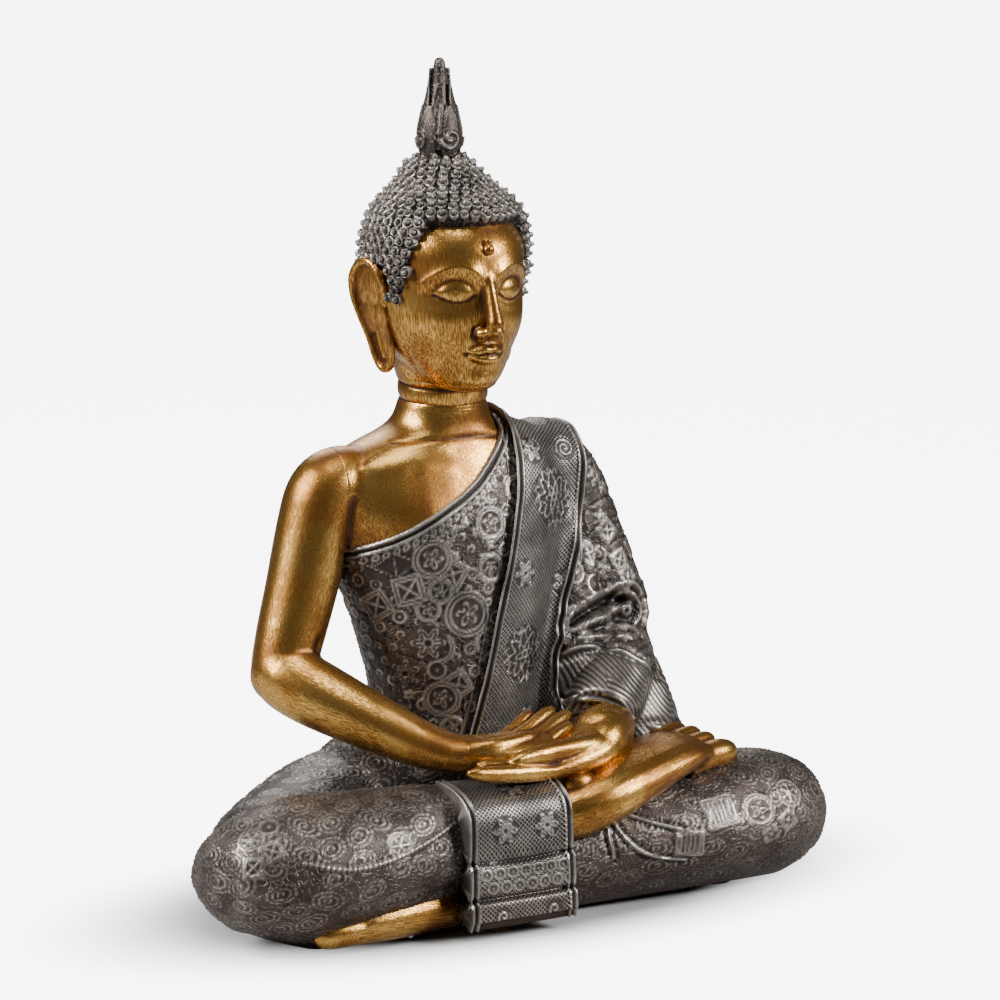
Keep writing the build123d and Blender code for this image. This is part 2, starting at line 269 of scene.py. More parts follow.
def note_vector(mesh, name, vectors):
    """Keeps three numbers for each vertex, for the paint."""
    attribute = mesh.attributes.new(name, "FLOAT_VECTOR", "POINT")
    attribute.data.foreach_set("vector", vectors.astype(np.float32).ravel())


def note_hollows(mesh, rounds, size):
    """Keeps how deep each vertex lies in a hollow: 1 in a groove of that size, -1 on such a ridge."""
    points, edges = read_points(mesh), read_edges(mesh)
    lift = ((averaged(points, edges, rounds) - points) * read_normals(mesh)).sum(axis=1)
    note(mesh, "hollow", np.clip(averaged(lift, edges, 1) / size, -1.0, 1.0))


def finish_piece(mesh, name, material, replaces):
    write_points(mesh, in_frame(read_points(mesh)))
    mesh.materials.clear()
    mesh.materials.append(material)
    mesh.polygons.foreach_set("use_smooth", np.ones(len(mesh.polygons), dtype=bool))
    mesh.name = name
    piece = bpy.data.objects.new(name, mesh)
    bpy.context.collection.objects.link(piece)
    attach(piece, "root")
    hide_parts(*replaces)
    return piece


def surface_of(*meshes):
    """A searchable surface of layout meshes."""
    verts, faces = [], []
    for mesh in meshes:
        base = len(verts)
        verts += [tuple(p) for p in read_points(mesh)]
        faces += [[base + i for i in face.vertices] for face in mesh.polygons]
    return BVHTree.FromPolygons(verts, faces)


# ---- forms, all in layout millimetres
RIGHT_THIGH = [
    (-28, 44, 41, 32, 31), (-60, 27, 40, 36, 33), (-92, 1, 37, 37, 33), (-119, -25, 36, 34, 31),
    (-134, -41, 37, 20, 21)
]
RIGHT_CALF = [
    (-163, -42, 38, 3, 3), (-161, -42, 38, 14, 13), (-154, -42, 38, 25, 24), (-140, -44, 38, 33, 31),
    (-118, -46, 39, 38, 35), (-85, -49, 41, 35, 33), (-50, -51, 43, 27, 30), (-16, -54, 46, 20, 22),
    (14, -57, 52, 16, 17)
]
LEFT_THIGH = [
    (28, 44, 40, 32, 30), (60, 27, 39, 36, 31), (92, 1, 36, 36, 31), (120, -25, 34, 33, 29),
    (135, -40, 34, 20, 20)
]
LEFT_CALF = [
    (168, -42, 35, 3, 3), (166, -42, 35, 14, 12), (159, -42, 35, 25, 22), (144, -43, 35, 33, 29),
    (121, -46, 35, 38, 32), (85, -48, 34, 36, 30), (50, -49, 32, 29, 28), (14, -50, 28, 22, 24),
    (-18, -52, 25, 17, 20)
]
PELVIS = [
    (0, 24, 4, 74, 46), (0, 27, 18, 84, 53), (0, 28, 42, 88, 56), (0, 27, 62, 74, 50), (0, 22, 80, 50, 38),
    (0, 20, 90, 20, 20)
]
LAP_MASS = [(0, -10, 4, 108, 50), (0, -12, 20, 118, 55), (0, -14, 42, 110, 50), (0, -10, 58, 82, 38)]
TORSO = [
    (0, 18, 50, 30, 26), (0, 18, 66, 43, 34), (0, 19, 85, 40, 33), (0, 20, 105, 40, 33), (0, 22, 130, 46, 35),
    (0, 25, 152, 53, 37), (0, 28, 175, 60, 38), (0, 30, 195, 65, 36), (0, 31, 209, 62, 31),
    (0, 31, 218, 48, 27), (0, 30, 225, 31, 24), (0, 29, 231, 24, 22), (0, 28, 240, 21, 21)
]
UPPER_ARM = [
    (-34, 30, 199, 12, 12), (-44, 30, 202, 15, 15), (-54, 30, 203, 17, 17), (-63, 30, 197, 18, 18),
    (-69, 29, 180, 18, 18), (-77, 26, 155, 17, 17.5), (-86, 22, 131, 16, 16.5), (-92, 19, 114, 14, 15),
    (-94, 19, 108, 8, 9)
]
FOREARM = [
    (-97, 27, 119, 6, 7), (-96, 24, 118, 12, 13), (-91, 17, 116, 16, 16), (-82, 4, 109, 16.5, 16),
    (-66, -15, 99, 15, 14), (-50, -32, 90, 12.5, 11.5), (-37, -43, 85, 11.5, 9.5), (-27, -49, 84, 12, 8.5)
]
NECK = [
    (0, 30, 220, 26, 24), (0, 29, 228, 23.5, 22), (0, 28, 236, 21.5, 21), (0, 27, 246, 21.5, 21.5),
    (0, 27, 256, 24, 25), (0, 27, 266, 24, 28)
]
SKULL = [
    (0, 4, 245.5, 3, 3), (0, 7, 247, 12, 12), (0, 10, 250, 17, 19), (0, 14, 255, 22, 25),
    (0, 19, 262, 27.5, 31.5), (0, 22, 270, 31.5, 36.5), (0, 24, 280, 34, 40), (0, 25, 292, 35.5, 41.5),
    (0, 25, 304, 36, 42), (0, 25, 315, 35, 40.5), (0, 26, 325, 30, 35), (0, 26, 333, 21, 25),
    (0, 26, 337, 9, 11)
]
HAIR = [
    (0, 34, 254, 20, 24), (0, 33, 262, 25, 29), (0, 31, 270, 30, 34.5), (0, 28, 284, 35, 39.5),
    (0, 26, 300, 37, 42), (0, 25, 314, 37.2, 41.8), (0, 24, 324, 35, 39.3), (0, 24, 330, 31.8, 34.8),
    (0, 25, 336, 26, 28), (0, 27, 341, 20.6, 21.5), (0, 29, 346, 17.4, 17.8), (0, 30, 351, 12.5, 12.5),
    (0, 30, 353.5, 3, 3)
]
SLEEVE_UPPER = [
    (36, 30, 200, 14, 14), (46, 30, 203, 17, 17), (57, 30, 203, 20, 19), (67, 29, 194, 20, 19),
    (75, 27, 172, 20, 20), (81, 24, 148, 21, 22), (87, 19, 125, 20, 22), (88, 14, 108, 15, 16)
]
SLEEVE_LOWER = [
    (94, 26, 114, 6, 8), (92, 22, 113, 16, 17), (86, 12, 110, 20, 20), (76, -4, 103, 21, 20),
    (62, -20, 95, 19, 18), (50, -33, 90, 16, 14)
]
SLEEVE_TAIL = [(80, 10, 122, 18, 18), (80, 2, 102, 24, 26), (80, -4, 86, 27, 30), (82, -6, 70, 30, 32)]
SLEEVE_WEB = [
    (50, 22, 190, 14, 14), (56, 20, 165, 20, 18), (60, 14, 130, 24, 22), (62, 4, 100, 26, 28),
    (62, 0, 72, 28, 30)
]


# ---- paints
def new_material(name):
    material = bpy.data.materials.new(name)
    material.use_nodes = True
    return material, material.node_tree.nodes["Principled BSDF"]


def joined(material, shader, colour_out, rough_out, metal_out, normal_out):
    tree = material.node_tree
    tree.links.new(colour_out, shader.inputs["Base Color"])
    tree.links.new(rough_out, shader.inputs["Roughness"])
    if metal_out is not None:
        tree.links.new(metal_out, shader.inputs["Metallic"])
    tree.links.new(normal_out, shader.inputs["Normal"])


def antique_gold(name, stroke_scale, brushed=False):
    """Gold bronze paint under a thin brown glaze, wiped off with a stiff brush.

    The high places are clean and bright, the glaze stays in the creases and in fine strokes about 0.5 mm wide.
    stroke_scale gives strokes per metre along X, Y and Z, or per mm where the piece keeps its own brush coordinates.
    """
    material, shader = new_material(name)
    place = add_node(material, "ShaderNodeTexCoord").outputs["Object"]
    drawn = add_node(
        material, "ShaderNodeAttribute", attribute_name="brush"
    ).outputs["Vector"] if brushed else place
    along = add_node(material, "ShaderNodeMapping", {"Vector": drawn, "Scale": stroke_scale}).outputs["Vector"]
    strokes = add_node(
        material, "ShaderNodeTexNoise", {"Vector": along, "Scale": 1.0, "Detail": 4.0, "Roughness": 0.65}
    ).outputs["Fac"]
    cloudy = add_node(
        material, "ShaderNodeTexNoise", {"Vector": place, "Scale": 38.0, "Detail": 3.0}
    ).outputs["Fac"]
    specks = add_node(
        material, "ShaderNodeTexNoise", {"Vector": place, "Scale": 900.0, "Detail": 2.0}
    ).outputs["Fac"]
    hollow = add_node(material, "ShaderNodeAttribute", attribute_name="hollow").outputs["Fac"]
    fine = add_node(
        material, "ShaderNodeMapRange", {"Value": strokes, "From Min": 0.42, "From Max": 0.66}
    ).outputs["Result"]
    broad = add_node(
        material, "ShaderNodeMapRange", {"Value": cloudy, "From Min": 0.40, "From Max": 0.72}
    ).outputs["Result"]
    wear = add_node(material, "ShaderNodeMath", {0: fine, 1: 0.36}, operation="MULTIPLY").outputs[0]
    wash = add_node(
        material, "ShaderNodeMath", {0: broad, 1: 0.30, 2: wear}, operation="MULTIPLY_ADD"
    ).outputs[0]
    deep = add_node(
        material, "ShaderNodeMapRange", {"Value": hollow, "From Min": 0.0, "From Max": 0.9, "To Max": 0.95}
    ).outputs["Result"]
    glaze = add_node(material, "ShaderNodeMath", {0: wash, 1: deep}, operation="ADD", use_clamp=True).outputs[0]
    tint = add_node(material, "ShaderNodeValToRGB", {"Fac": glaze})
    set_ramp(
        tint,
        [
            (0.0, colour("#E6BA68")), (0.22, colour("#9E6C2E")), (0.50, colour("#5A361A")),
            (1.0, colour("#180C07"))
        ]
    )
    rough = add_node(
        material, "ShaderNodeMapRange", {"Value": glaze, "To Min": 0.22, "To Max": 0.50}
    ).outputs["Result"]
    metal = add_node(
        material, "ShaderNodeMapRange", {"Value": glaze, "To Min": 1.0, "To Max": 0.55}
    ).outputs["Result"]
    height = add_node(
        material, "ShaderNodeMath", {0: specks, 1: 0.25, 2: strokes}, operation="MULTIPLY_ADD"
    ).outputs[0]
    relief = add_node(
        material, "ShaderNodeBump", {"Height": height, "Strength": 0.22, "Distance": 0.0006}
    ).outputs["Normal"]
    joined(material, shader, tint.outputs["Color"], rough, metal, relief)
    return material


HATCH_SPACING = 1.7  # between threads, in mm. The real 1.2 mm would not show.
WAVE_BANDS = 3.0  # a wave texture of scale 1 has about this many bands in a unit
HATCH_SCALE = 1.0 / (HATCH_SPACING * WAVE_BANDS)


def silvered_charcoal(name, hatched=False):
    """Charcoal paint with silver dragged over the raised lines by a nearly dry brush.

    The hollows stay near black. The ground is a mottled dark grey with fine wandering lines about 2 mm apart, or with
    the crossed threads of a weave where the piece keeps flat cloth coordinates in mm.
    """
    material, shader = new_material(name)
    place = add_node(material, "ShaderNodeTexCoord").outputs["Object"]
    hollow = add_node(material, "ShaderNodeAttribute", attribute_name="hollow").outputs["Fac"]
    line = add_node(material, "ShaderNodeAttribute", attribute_name="line").outputs["Fac"]
    plain = add_node(material, "ShaderNodeAttribute", attribute_name="plain").outputs["Fac"]
    mottle = add_node(
        material, "ShaderNodeTexNoise", {"Vector": place, "Scale": 70.0, "Detail": 4.0}
    ).outputs["Fac"]
    grit = add_node(
        material, "ShaderNodeTexNoise", {"Vector": place, "Scale": 1100.0, "Detail": 2.0}
    ).outputs["Fac"]
    bend = add_node(
        material, "ShaderNodeTexNoise", {"Vector": place, "Scale": 210.0, "Detail": 1.0}
    ).outputs["Fac"]
    worm = add_node(material, "ShaderNodeMath", {0: bend, 1: 34.0}, operation="MULTIPLY").outputs[0]
    worm = add_node(material, "ShaderNodeMath", {0: worm}, operation="SINE").outputs[0]
    worm = add_node(
        material, "ShaderNodeMapRange", {"Value": worm, "From Min": 0.35, "From Max": 0.95}
    ).outputs["Result"]
    if hatched:
        flat = add_node(material, "ShaderNodeAttribute", attribute_name="cloth").outputs["Vector"]
        waves = []
        for turn in (0.785, -0.785):
            turned = add_node(
                material, "ShaderNodeMapping", {"Vector": flat, "Rotation": (0, 0, turn)}
            ).outputs["Vector"]
            wave = add_node(
                material, "ShaderNodeTexWave",
                {"Vector": turned, "Scale": HATCH_SCALE, "Distortion": 0.4, "Detail": 0.0}
            )
            waves.append(
                add_node(
                    material, "ShaderNodeMapRange",
                    {"Value": wave.outputs["Fac"], "From Min": 0.70, "From Max": 0.92}
                ).outputs["Result"]
            )
        worm = add_node(material, "ShaderNodeMath", {0: waves[0], 1: waves[1]}, operation="MAXIMUM").outputs[0]
    free = add_node(
        material, "ShaderNodeMath", {0: 1.0, 1: plain}, operation="SUBTRACT", use_clamp=True
    ).outputs[0]
    ground = add_node(material, "ShaderNodeMath", {0: worm, 1: free}, operation="MULTIPLY").outputs[0]
    raised = add_node(
        material, "ShaderNodeMath", {0: ground, 1: 0.85 if hatched else 0.22, 2: line},
        operation="MULTIPLY_ADD", use_clamp=True
    ).outputs[0]
    ridge = add_node(
        material, "ShaderNodeMapRange", {"Value": hollow, "From Min": -0.05, "From Max": -0.7, "To Max": 0.6}
    ).outputs["Result"]
    silver = add_node(
        material, "ShaderNodeMath", {0: raised, 1: ridge}, operation="ADD", use_clamp=True
    ).outputs[0]
    patchy = add_node(
        material, "ShaderNodeMapRange",
        {"Value": mottle, "From Min": 0.35, "From Max": 0.65, "To Min": 0.45, "To Max": 1.0}
    ).outputs["Result"]
    grain = add_node(
        material, "ShaderNodeMapRange",
        {"Value": grit, "From Min": 0.30, "From Max": 0.60, "To Min": 0.55, "To Max": 1.0}
    ).outputs["Result"]
    silver = add_node(material, "ShaderNodeMath", {0: silver, 1: patchy}, operation="MULTIPLY").outputs[0]
    silver = add_node(material, "ShaderNodeMath", {0: silver, 1: grain}, operation="MULTIPLY").outputs[0]
    base = add_node(material, "ShaderNodeValToRGB", {"Fac": mottle})
    shades = ("#1F1C1B", "#302C2A", "#46413E") if hatched else ("#312A26", "#49413B", "#635951")
    set_ramp(base, [(stop, colour(shade)) for stop, shade in zip((0.30, 0.55, 0.75), shades)])
    height = add_node(material, "ShaderNodeSeparateXYZ", {"Vector": place}).outputs["Z"]
    low = add_node(
        material, "ShaderNodeMapRange", {"Value": height, "From Min": 0.055, "From Max": 0.0, "To Max": 0.55}
    ).outputs["Result"]
    earth = add_node(
        material, "ShaderNodeMix", {"Factor": low, "A": base.outputs["Color"], "B": colour("#4A352A")},
        data_type="RGBA"
    )
    # near black in the hollows; on the hair cap, which is marked as hollow all over, this is painted shade between
    # the curls
    dark = add_node(
        material, "ShaderNodeMapRange", {"Value": hollow, "From Min": 0.0, "From Max": 0.42, "To Max": 0.95}
    ).outputs["Result"]
    sunk = add_node(
        material, "ShaderNodeMix", {"Factor": dark, "A": earth.outputs[2], "B": colour("#14100E")},
        data_type="RGBA"
    )
    done = add_node(
        material, "ShaderNodeMix", {"Factor": silver, "A": sunk.outputs[2], "B": colour("#B4ADA5")},
        data_type="RGBA"
    )
    rough = add_node(
        material, "ShaderNodeMapRange", {"Value": silver, "To Min": 0.46, "To Max": 0.34}
    ).outputs["Result"]
    metal = add_node(
        material, "ShaderNodeMapRange", {"Value": silver, "To Min": 0.75, "To Max": 0.95}
    ).outputs["Result"]
    cut = add_node(
        material, "ShaderNodeMath", {0: grit, 1: 0.25, 2: ground}, operation="MULTIPLY_ADD"
    ).outputs[0]
    relief = add_node(
        material, "ShaderNodeBump", {"Height": cut, "Strength": 0.75 if hatched else 0.5, "Distance": 0.0006}
    ).outputs["Normal"]
    joined(material, shader, done.outputs[2], rough, metal, relief)
    return material


FACE_GOLD = antique_gold("antique_gold_upright_strokes", (1500.0, 1500.0, 130.0))
BODY_GOLD = antique_gold("antique_gold_body_strokes", (2.6, 2.6, 2.6), brushed=True)
ROBE = silvered_charcoal("silvered_charcoal_resin")
WOVEN = silvered_charcoal("silvered_charcoal_crosshatch", hatched=True)
HAIRPAINT = silvered_charcoal("silvered_charcoal_curls")


# ---- raised ornament, drawn round a spot on the surface
LINE_HALF = 0.5
RELIEF = 0.62
SCORE_DEPTH = 0.5


def stroke(gap, half=LINE_HALF):
    return bump(gap, half)


def beaded(turn, count):
    """A line broken into beads round a circle."""
    return 0.35 + 0.65 * (np.cos(turn * count) > -0.2)


def framed(u, v, half):
    return np.maximum(np.abs(u), np.abs(v)) - half


def star_lines(u, v, r, turn, size):
    petals = size * (0.36 + 0.16 * np.cos(5 * turn))
    return np.max([stroke(r - size), stroke(r - 0.8 * size, 0.5), stroke(r - petals), stroke(r, 0.9)], axis=0)


def wheel_lines(u, v, r, turn, size):
    spokes = stroke(np.sin(turn * 3) * r / 3) * (r < 0.7 * size)
    return np.max([stroke(r - size), stroke(r - 0.72 * size) * beaded(turn, 14), spokes], axis=0)


def flower_lines(u, v, r, turn, size):
    petals = size * (0.72 + 0.24 * np.cos(6 * turn))
    return np.max(
        [
            stroke(r - petals), stroke(r - 0.28 * size),
            stroke(np.sin(turn * 3) * r / 3) * (r > 0.3 * size) * (r < 0.7 * size)
        ],
        axis=0
    )


def blossom_lines(u, v, r, turn, size):
    """A large open flower: two rounds of petals and a ring of small circles."""
    inner = size * (0.36 + 0.13 * np.cos(6 * turn))
    outer = size * (0.72 + 0.17 * np.cos(8 * turn + 0.4))
    scrolls = size * (0.95 + 0.10 * np.cos(16 * turn))
    return np.max(
        [
            stroke(r - 0.14 * size), stroke(r - inner), stroke(r - outer),
            stroke(r - scrolls) * (np.cos(4 * turn) > -0.6)
        ],
        axis=0
    )


def crossed_lines(u, v, r, turn, size):
    edge = framed(u, v, size)
    inside = edge < 0
    cross = np.minimum(np.abs(u - v), np.abs(u + v)) / 1.41
    return np.max([stroke(edge), stroke(edge + 0.26 * size, 0.5) * inside, stroke(cross) * inside], axis=0)


def basket_lines(u, v, r, turn, size):
    edge = framed(u, v, size)
    bars = (0.5 + 0.5 * np.cos(u * math.tau / 2.3)) * (edge < -0.22 * size)
    return np.max([stroke(edge, 0.8), stroke(edge + 0.2 * size, 0.5), bars], axis=0)


def oval_lines(u, v, r, turn, size):
    """A dotted oval with a small spiral in it."""
    across = np.hypot(u, v * 1.45)
    coil = np.abs(((r / 2.1 - turn / math.tau) % 1.0) - 0.5) * 2.1
    return np.max(
        [
            stroke(across - 0.94 * size) * beaded(turn, 16), stroke(across - 0.6 * size, 0.42),
            stroke(coil, 0.42) * (r < 0.3 * size)
        ],
        axis=0
    )


def curl_lines(u, v, r, turn, size):
    coil = np.abs(((r / 2.6 - turn / math.tau) % 1.0) - 0.5) * 2.6
    return stroke(coil, 0.55) * (r < size)


def ring_lines(u, v, r, turn, size):
    return np.maximum(stroke(r - size), stroke(r, 0.6))


def triangle_lines(u, v, r, turn, size):
    """A short band of triangles between two straight lines."""
    zigzag = np.abs((u / size * 1.5) % 2.0 - 1.0) * 1.1 * size - 0.55 * size
    inside = (np.abs(u) < size) & (np.abs(v) < 0.6 * size)
    return np.max([stroke(v - zigzag), stroke(np.abs(v) - 0.6 * size)], axis=0) * inside


MOTIFS = {
    "star": star_lines,
    "wheel": wheel_lines,
    "flower": flower_lines,
    "blossom": blossom_lines,
    "crossed": crossed_lines,
    "basket": basket_lines,
    "oval": oval_lines,
    "curl": curl_lines,
    "ring": ring_lines,
    "triangles": triangle_lines,
}
SQUARE_MOTIFS = ("crossed", "basket", "triangles")


class Ornament:
    """The line work on one mesh: 0 on the ground, 1 on a raised line."""

    def __init__(self, mesh):
        self.mesh = mesh
        self.points = read_points(mesh)
        self.normals = averaged(read_normals(mesh), read_edges(mesh), 6)
        self.normals /= np.linalg.norm(self.normals, axis=1)[:, None]
        self.line = np.zeros(len(self.points))
        self.plain = np.zeros(len(self.points))
        self.height = np.zeros(len(self.points))
        self.scored = np.zeros(len(self.points))

    def stamp(self, kind, centre, size, turn=0.0):
        offset = self.points - np.array(centre)
        near = np.flatnonzero(np.einsum("ij,ij->i", offset, offset) < (1.6 * size) ** 2)
        if len(near) == 0:
            return
        first = near[np.argmin(np.einsum("ij,ij->i", offset[near], offset[near]))]
        normal = self.normals[first]
        near = near[self.normals[near] @ normal > 0.25]
        up = np.array([0.0, 0.0, 1.0]) if abs(normal[2]) < 0.9 else np.array([0.0, 1.0, 0.0])
        across = np.cross(up, normal)
        across /= np.linalg.norm(across)
        upward = np.cross(normal, across)
        flat_u, flat_v = offset[near] @ across, offset[near] @ upward
        cos, sin = math.cos(math.radians(turn)), math.sin(math.radians(turn))
        u, v = flat_u * cos + flat_v * sin, flat_v * cos - flat_u * sin
        r = np.hypot(u, v)
        edge = framed(u, v, size) if kind in SQUARE_MOTIFS else r - size
        if kind == "oval":
            edge = np.hypot(u, v * 1.45) - size
        inside = step(1.3, 0.5, edge)
        drawn = MOTIFS[kind](u, v, r, np.arctan2(v, u), size)
        self.line[near] = self.line[near] * (1 - inside) + drawn * inside
        self.plain[near] = np.maximum(self.plain[near] * (1 - inside), 0.85 * inside)
        self.scored[near] *= 1 - inside

    def fill(self, kinds, allowed, gap, size, seed):
        """Covers the allowed part with motifs at least gap apart."""
        draw = np.random.default_rng(seed)
        order = draw.permutation(np.flatnonzero(allowed))[:7000]
        kept = []
        for index in order:
            spot = self.points[index]
            if kept and np.min(np.sum((np.array(kept) - spot) ** 2, axis=1)) < gap * gap:
                continue
            kept.append(spot)
        for spot in kept:
            kind = kinds[draw.integers(len(kinds))]
            scale = draw.uniform(0.82, 1.08)
            self.stamp(
                kind, spot, size * scale, draw.uniform(-40, 40) if kind == "oval" else draw.uniform(0, 90)
            )

    def trace(self, path, half=0.8, raised=0.8, dots=0.0, hollow=0.0):
        """A raised line along a path. dots gives their spacing. hollow sinks the surface beside it."""
        distance, along = nearest_on_path(self.points, smooth_rows(path, 5))
        drawn = stroke(distance, half)
        if dots:
            drawn = drawn * (0.55 + 0.45 * np.cos(along * math.tau / dots))
        near = step(half * 2.4, half * 1.2, distance)
        self.line = self.line * (1 - near) + drawn
        self.plain = np.maximum(self.plain, near)
        self.height += raised * drawn
        if hollow:
            self.height -= hollow * bump(distance - half * 2.6, half * 1.6)

    def groove(self, path, half, depth, lip=0.0):
        """A fold pressed in along a path, with a raised lip on both sides."""
        distance, _ = nearest_on_path(self.points, smooth_rows(path, 5))
        self.height -= depth * bump(distance, half)
        self.height += lip * bump(distance - 2.0 * half, half)

    def press(self, rounds=8, size=0.5, shine=1.0):
        """Raises the lines in the mesh and keeps the numbers for the paint."""
        self.line = np.clip(self.line, 0.0, 1.0)
        self.scored *= 1 - self.plain
        lift = self.height + RELIEF * self.line - SCORE_DEPTH * self.scored
        write_points(self.mesh, self.points + self.normals * lift[:, None])
        note_hollows(self.mesh, rounds, size)
        note(self.mesh, "line", self.line * shine)
        note(self.mesh, "plain", self.plain)


def skin(parts, cell, rounds):
    """One skin over several limbs, each (rows, level)."""
    bm = bmesh.new()
    for rows, level in parts:
        limb(bm, rows, level=level)
    return one_skin(bm, cell, rounds)


# ---- chest and the robe round the torso
NECKLINE = [
    (26.5, 244.0), (25.0, 231.2), (18.0, 220.5), (9.6, 212.1), (-1.0, 203.2), (-12.9, 195.9), (-35.0, 183.8),
    (-52.8, 175.5), (-80, 164)
]
HEM_WIDTH = 4.6


def under_neckline(points):
    """How far each point lies below the edge of the robe, in mm."""
    path = smooth_rows(NECKLINE, 6)
    flat = points[:, [0, 2]]
    distance, _ = nearest_on_path(flat, path)
    order = np.argsort(path[:, 0])
    edge_z = np.interp(flat[:, 0], path[order, 0], path[order, 1])
    below = (flat[:, 1] < edge_z) | (flat[:, 0] > path[:, 0].max())
    return np.where(below, distance, -distance)


ARM_PATH = smooth_rows([row[:3] for row in UPPER_ARM[2:]] + [row[:3] for row in FOREARM[2:]], 6)
STROKE_DRAW = 0.13  # how much the brush strokes are drawn out along the limb


CHEST_MIDDLE_Y = 25.0
CHEST_LEAN = 0.25  # sideways lean of the strokes on the chest, as a share of the height


def note_strokes(mesh, path, border=None):
    """Keeps the brush's own coordinates, in mm: round the limb, and drawn out along it.

    Inside border, which is (from x, to x), they change to upright strokes round a middle line.
    """
    points = read_points(mesh)
    lengths = np.r_[0.0, np.cumsum(np.linalg.norm(np.diff(path, axis=0), axis=1))]
    _, along = nearest_on_path(points, path)
    centre = np.column_stack([np.interp(along, lengths, path[:, k]) for k in range(3)])
    brush = points - centre
    brush[:, 2] += (path[0, 2] - along) * STROKE_DRAW
    if border:
        upright = points - np.array([0.0, CHEST_MIDDLE_Y, 0.0])
        upright[:, 0] += CHEST_LEAN * upright[:, 2]
        upright[:, 2] *= STROKE_DRAW
        share = step(border[0], border[1], points[:, 0])[:, None]
        brush = brush * (1 - share) + upright * share
    note_vector(mesh, "brush", brush)


SHOULDER_SPLIT_X = -59.0


def split_off(mesh, plane_x, side):
    """The part of a mesh on one side of an upright plane, closed where it is cut."""
    bm = bmesh.new()
    bm.from_mesh(mesh)
    everything = list(bm.verts) + list(bm.edges) + list(bm.faces)
    bmesh.ops.bisect_plane(
        bm, geom=everything, plane_co=(plane_x, 0, 0), plane_no=(-side, 0, 0), clear_outer=True
    )
    close_holes(bm)
    return as_mesh(bm)


ARM_HANGS_FREE_BELOW = 130.0
FOREARM_LIMIT_X, FOREARM_LIMIT_Y = -48.0, -17.0  # the forearm lies outside or in front of these


def on_the_arm(spot):
    """True for the upper arm, the forearm and the wrist."""
    if spot.z > ARM_HANGS_FREE_BELOW:
        return spot.x < SHOULDER_SPLIT_X
    return spot.x < FOREARM_LIMIT_X or spot.y < FOREARM_LIMIT_Y


def shoulder_part(mesh, arm):
    """The arm, or the chest without it, parted at the upright plane through the shoulder and closed there."""
    bm = bmesh.new()
    bm.from_mesh(mesh)
    upper = [face for face in bm.faces if face.calc_center_median().z > ARM_HANGS_FREE_BELOW]
    lines = list(dict.fromkeys(edge for face in upper for edge in face.edges))
    corners = list(dict.fromkeys(vert for face in upper for vert in face.verts))
    bmesh.ops.bisect_plane(
        bm, geom=corners + lines + upper, plane_co=(SHOULDER_SPLIT_X, 0, 0), plane_no=(1, 0, 0)
    )
    others = [face for face in bm.faces if on_the_arm(face.calc_center_median()) != arm]
    bmesh.ops.delete(bm, geom=others, context="FACES")
    close_holes(bm)
    return as_mesh(bm)


UNDER_ROBE, SUNK_UNDER_ROBE = 2.5, 3.0  # the skin sinks where it lies this far under the robe's edge
CLEAR_OF_FOREARM = 21.0


def chest_and_arm_mesh():
    """The bare chest, shoulder and arm in one skin, so that the shoulder has no step."""
    bm = bmesh.new()
    limb(bm, TORSO, level=True)
    limb(bm, UPPER_ARM)
    limb(bm, FOREARM)
    ball(bm, (-56, 30, 199.5), (18.6, 18.2, 18.4))
    chest = one_skin(bm, CHEST_CELL, 10)
    points = read_points(chest)
    height = np.zeros(len(points))
    front = points[:, 1] < 15
    for side in (-1, 1):
        spread = ((points[:, 0] - side * 27) / 22) ** 2 + ((points[:, 2] - 186) / 16) ** 2
        height += 2.0 * np.exp(-spread) * front
    collar = nearest_on_path(points[:, [0, 2]], [(-46, 212), (-28, 214), (-10, 209)])[0]
    height += 0.8 * bump(collar, 5) * front
    round_neck = np.hypot(points[:, 0], points[:, 1] - 29) < 36
    height -= 0.7 * bump(points[:, 2] - 223.5 + 0.14 * points[:, 1], 1.0) * round_neck
    armpit = nearest_on_path(points[:, [0, 2]], [(-56, 196), (-60, 182), (-61, 172)])[0]
    height -= 0.6 * bump(armpit, 3.2) * (points[:, 1] < 25)
    elbow = nearest_on_path(points, [(-76, 8, 132), (-80, 10, 126), (-78, 4, 121)])[0]
    height -= 1.6 * bump(elbow, 2.6)
    covered = (under_neckline(points) > UNDER_ROBE) & (points[:, 0] > SHOULDER_SPLIT_X)
    covered &= nearest_on_path(points, [row[:3] for row in FOREARM])[0] > CLEAR_OF_FOREARM
    height = np.where(covered, -SUNK_UNDER_ROBE, height)
    pushed(chest, averaged(height, read_edges(chest), 1))
    note_hollows(chest, 8, 0.5)
    note_strokes(chest, ARM_PATH, border=(-66.0, -48.0))
    return chest


TORSO_MIDDLE_Y, TORSO_RADIUS = 22.0, 44.0
SCORE_RISE, SCORE_ROWS, SCORE_COLUMNS = 0.28, 14, 13  # the scored grid behind the ornament, in mm


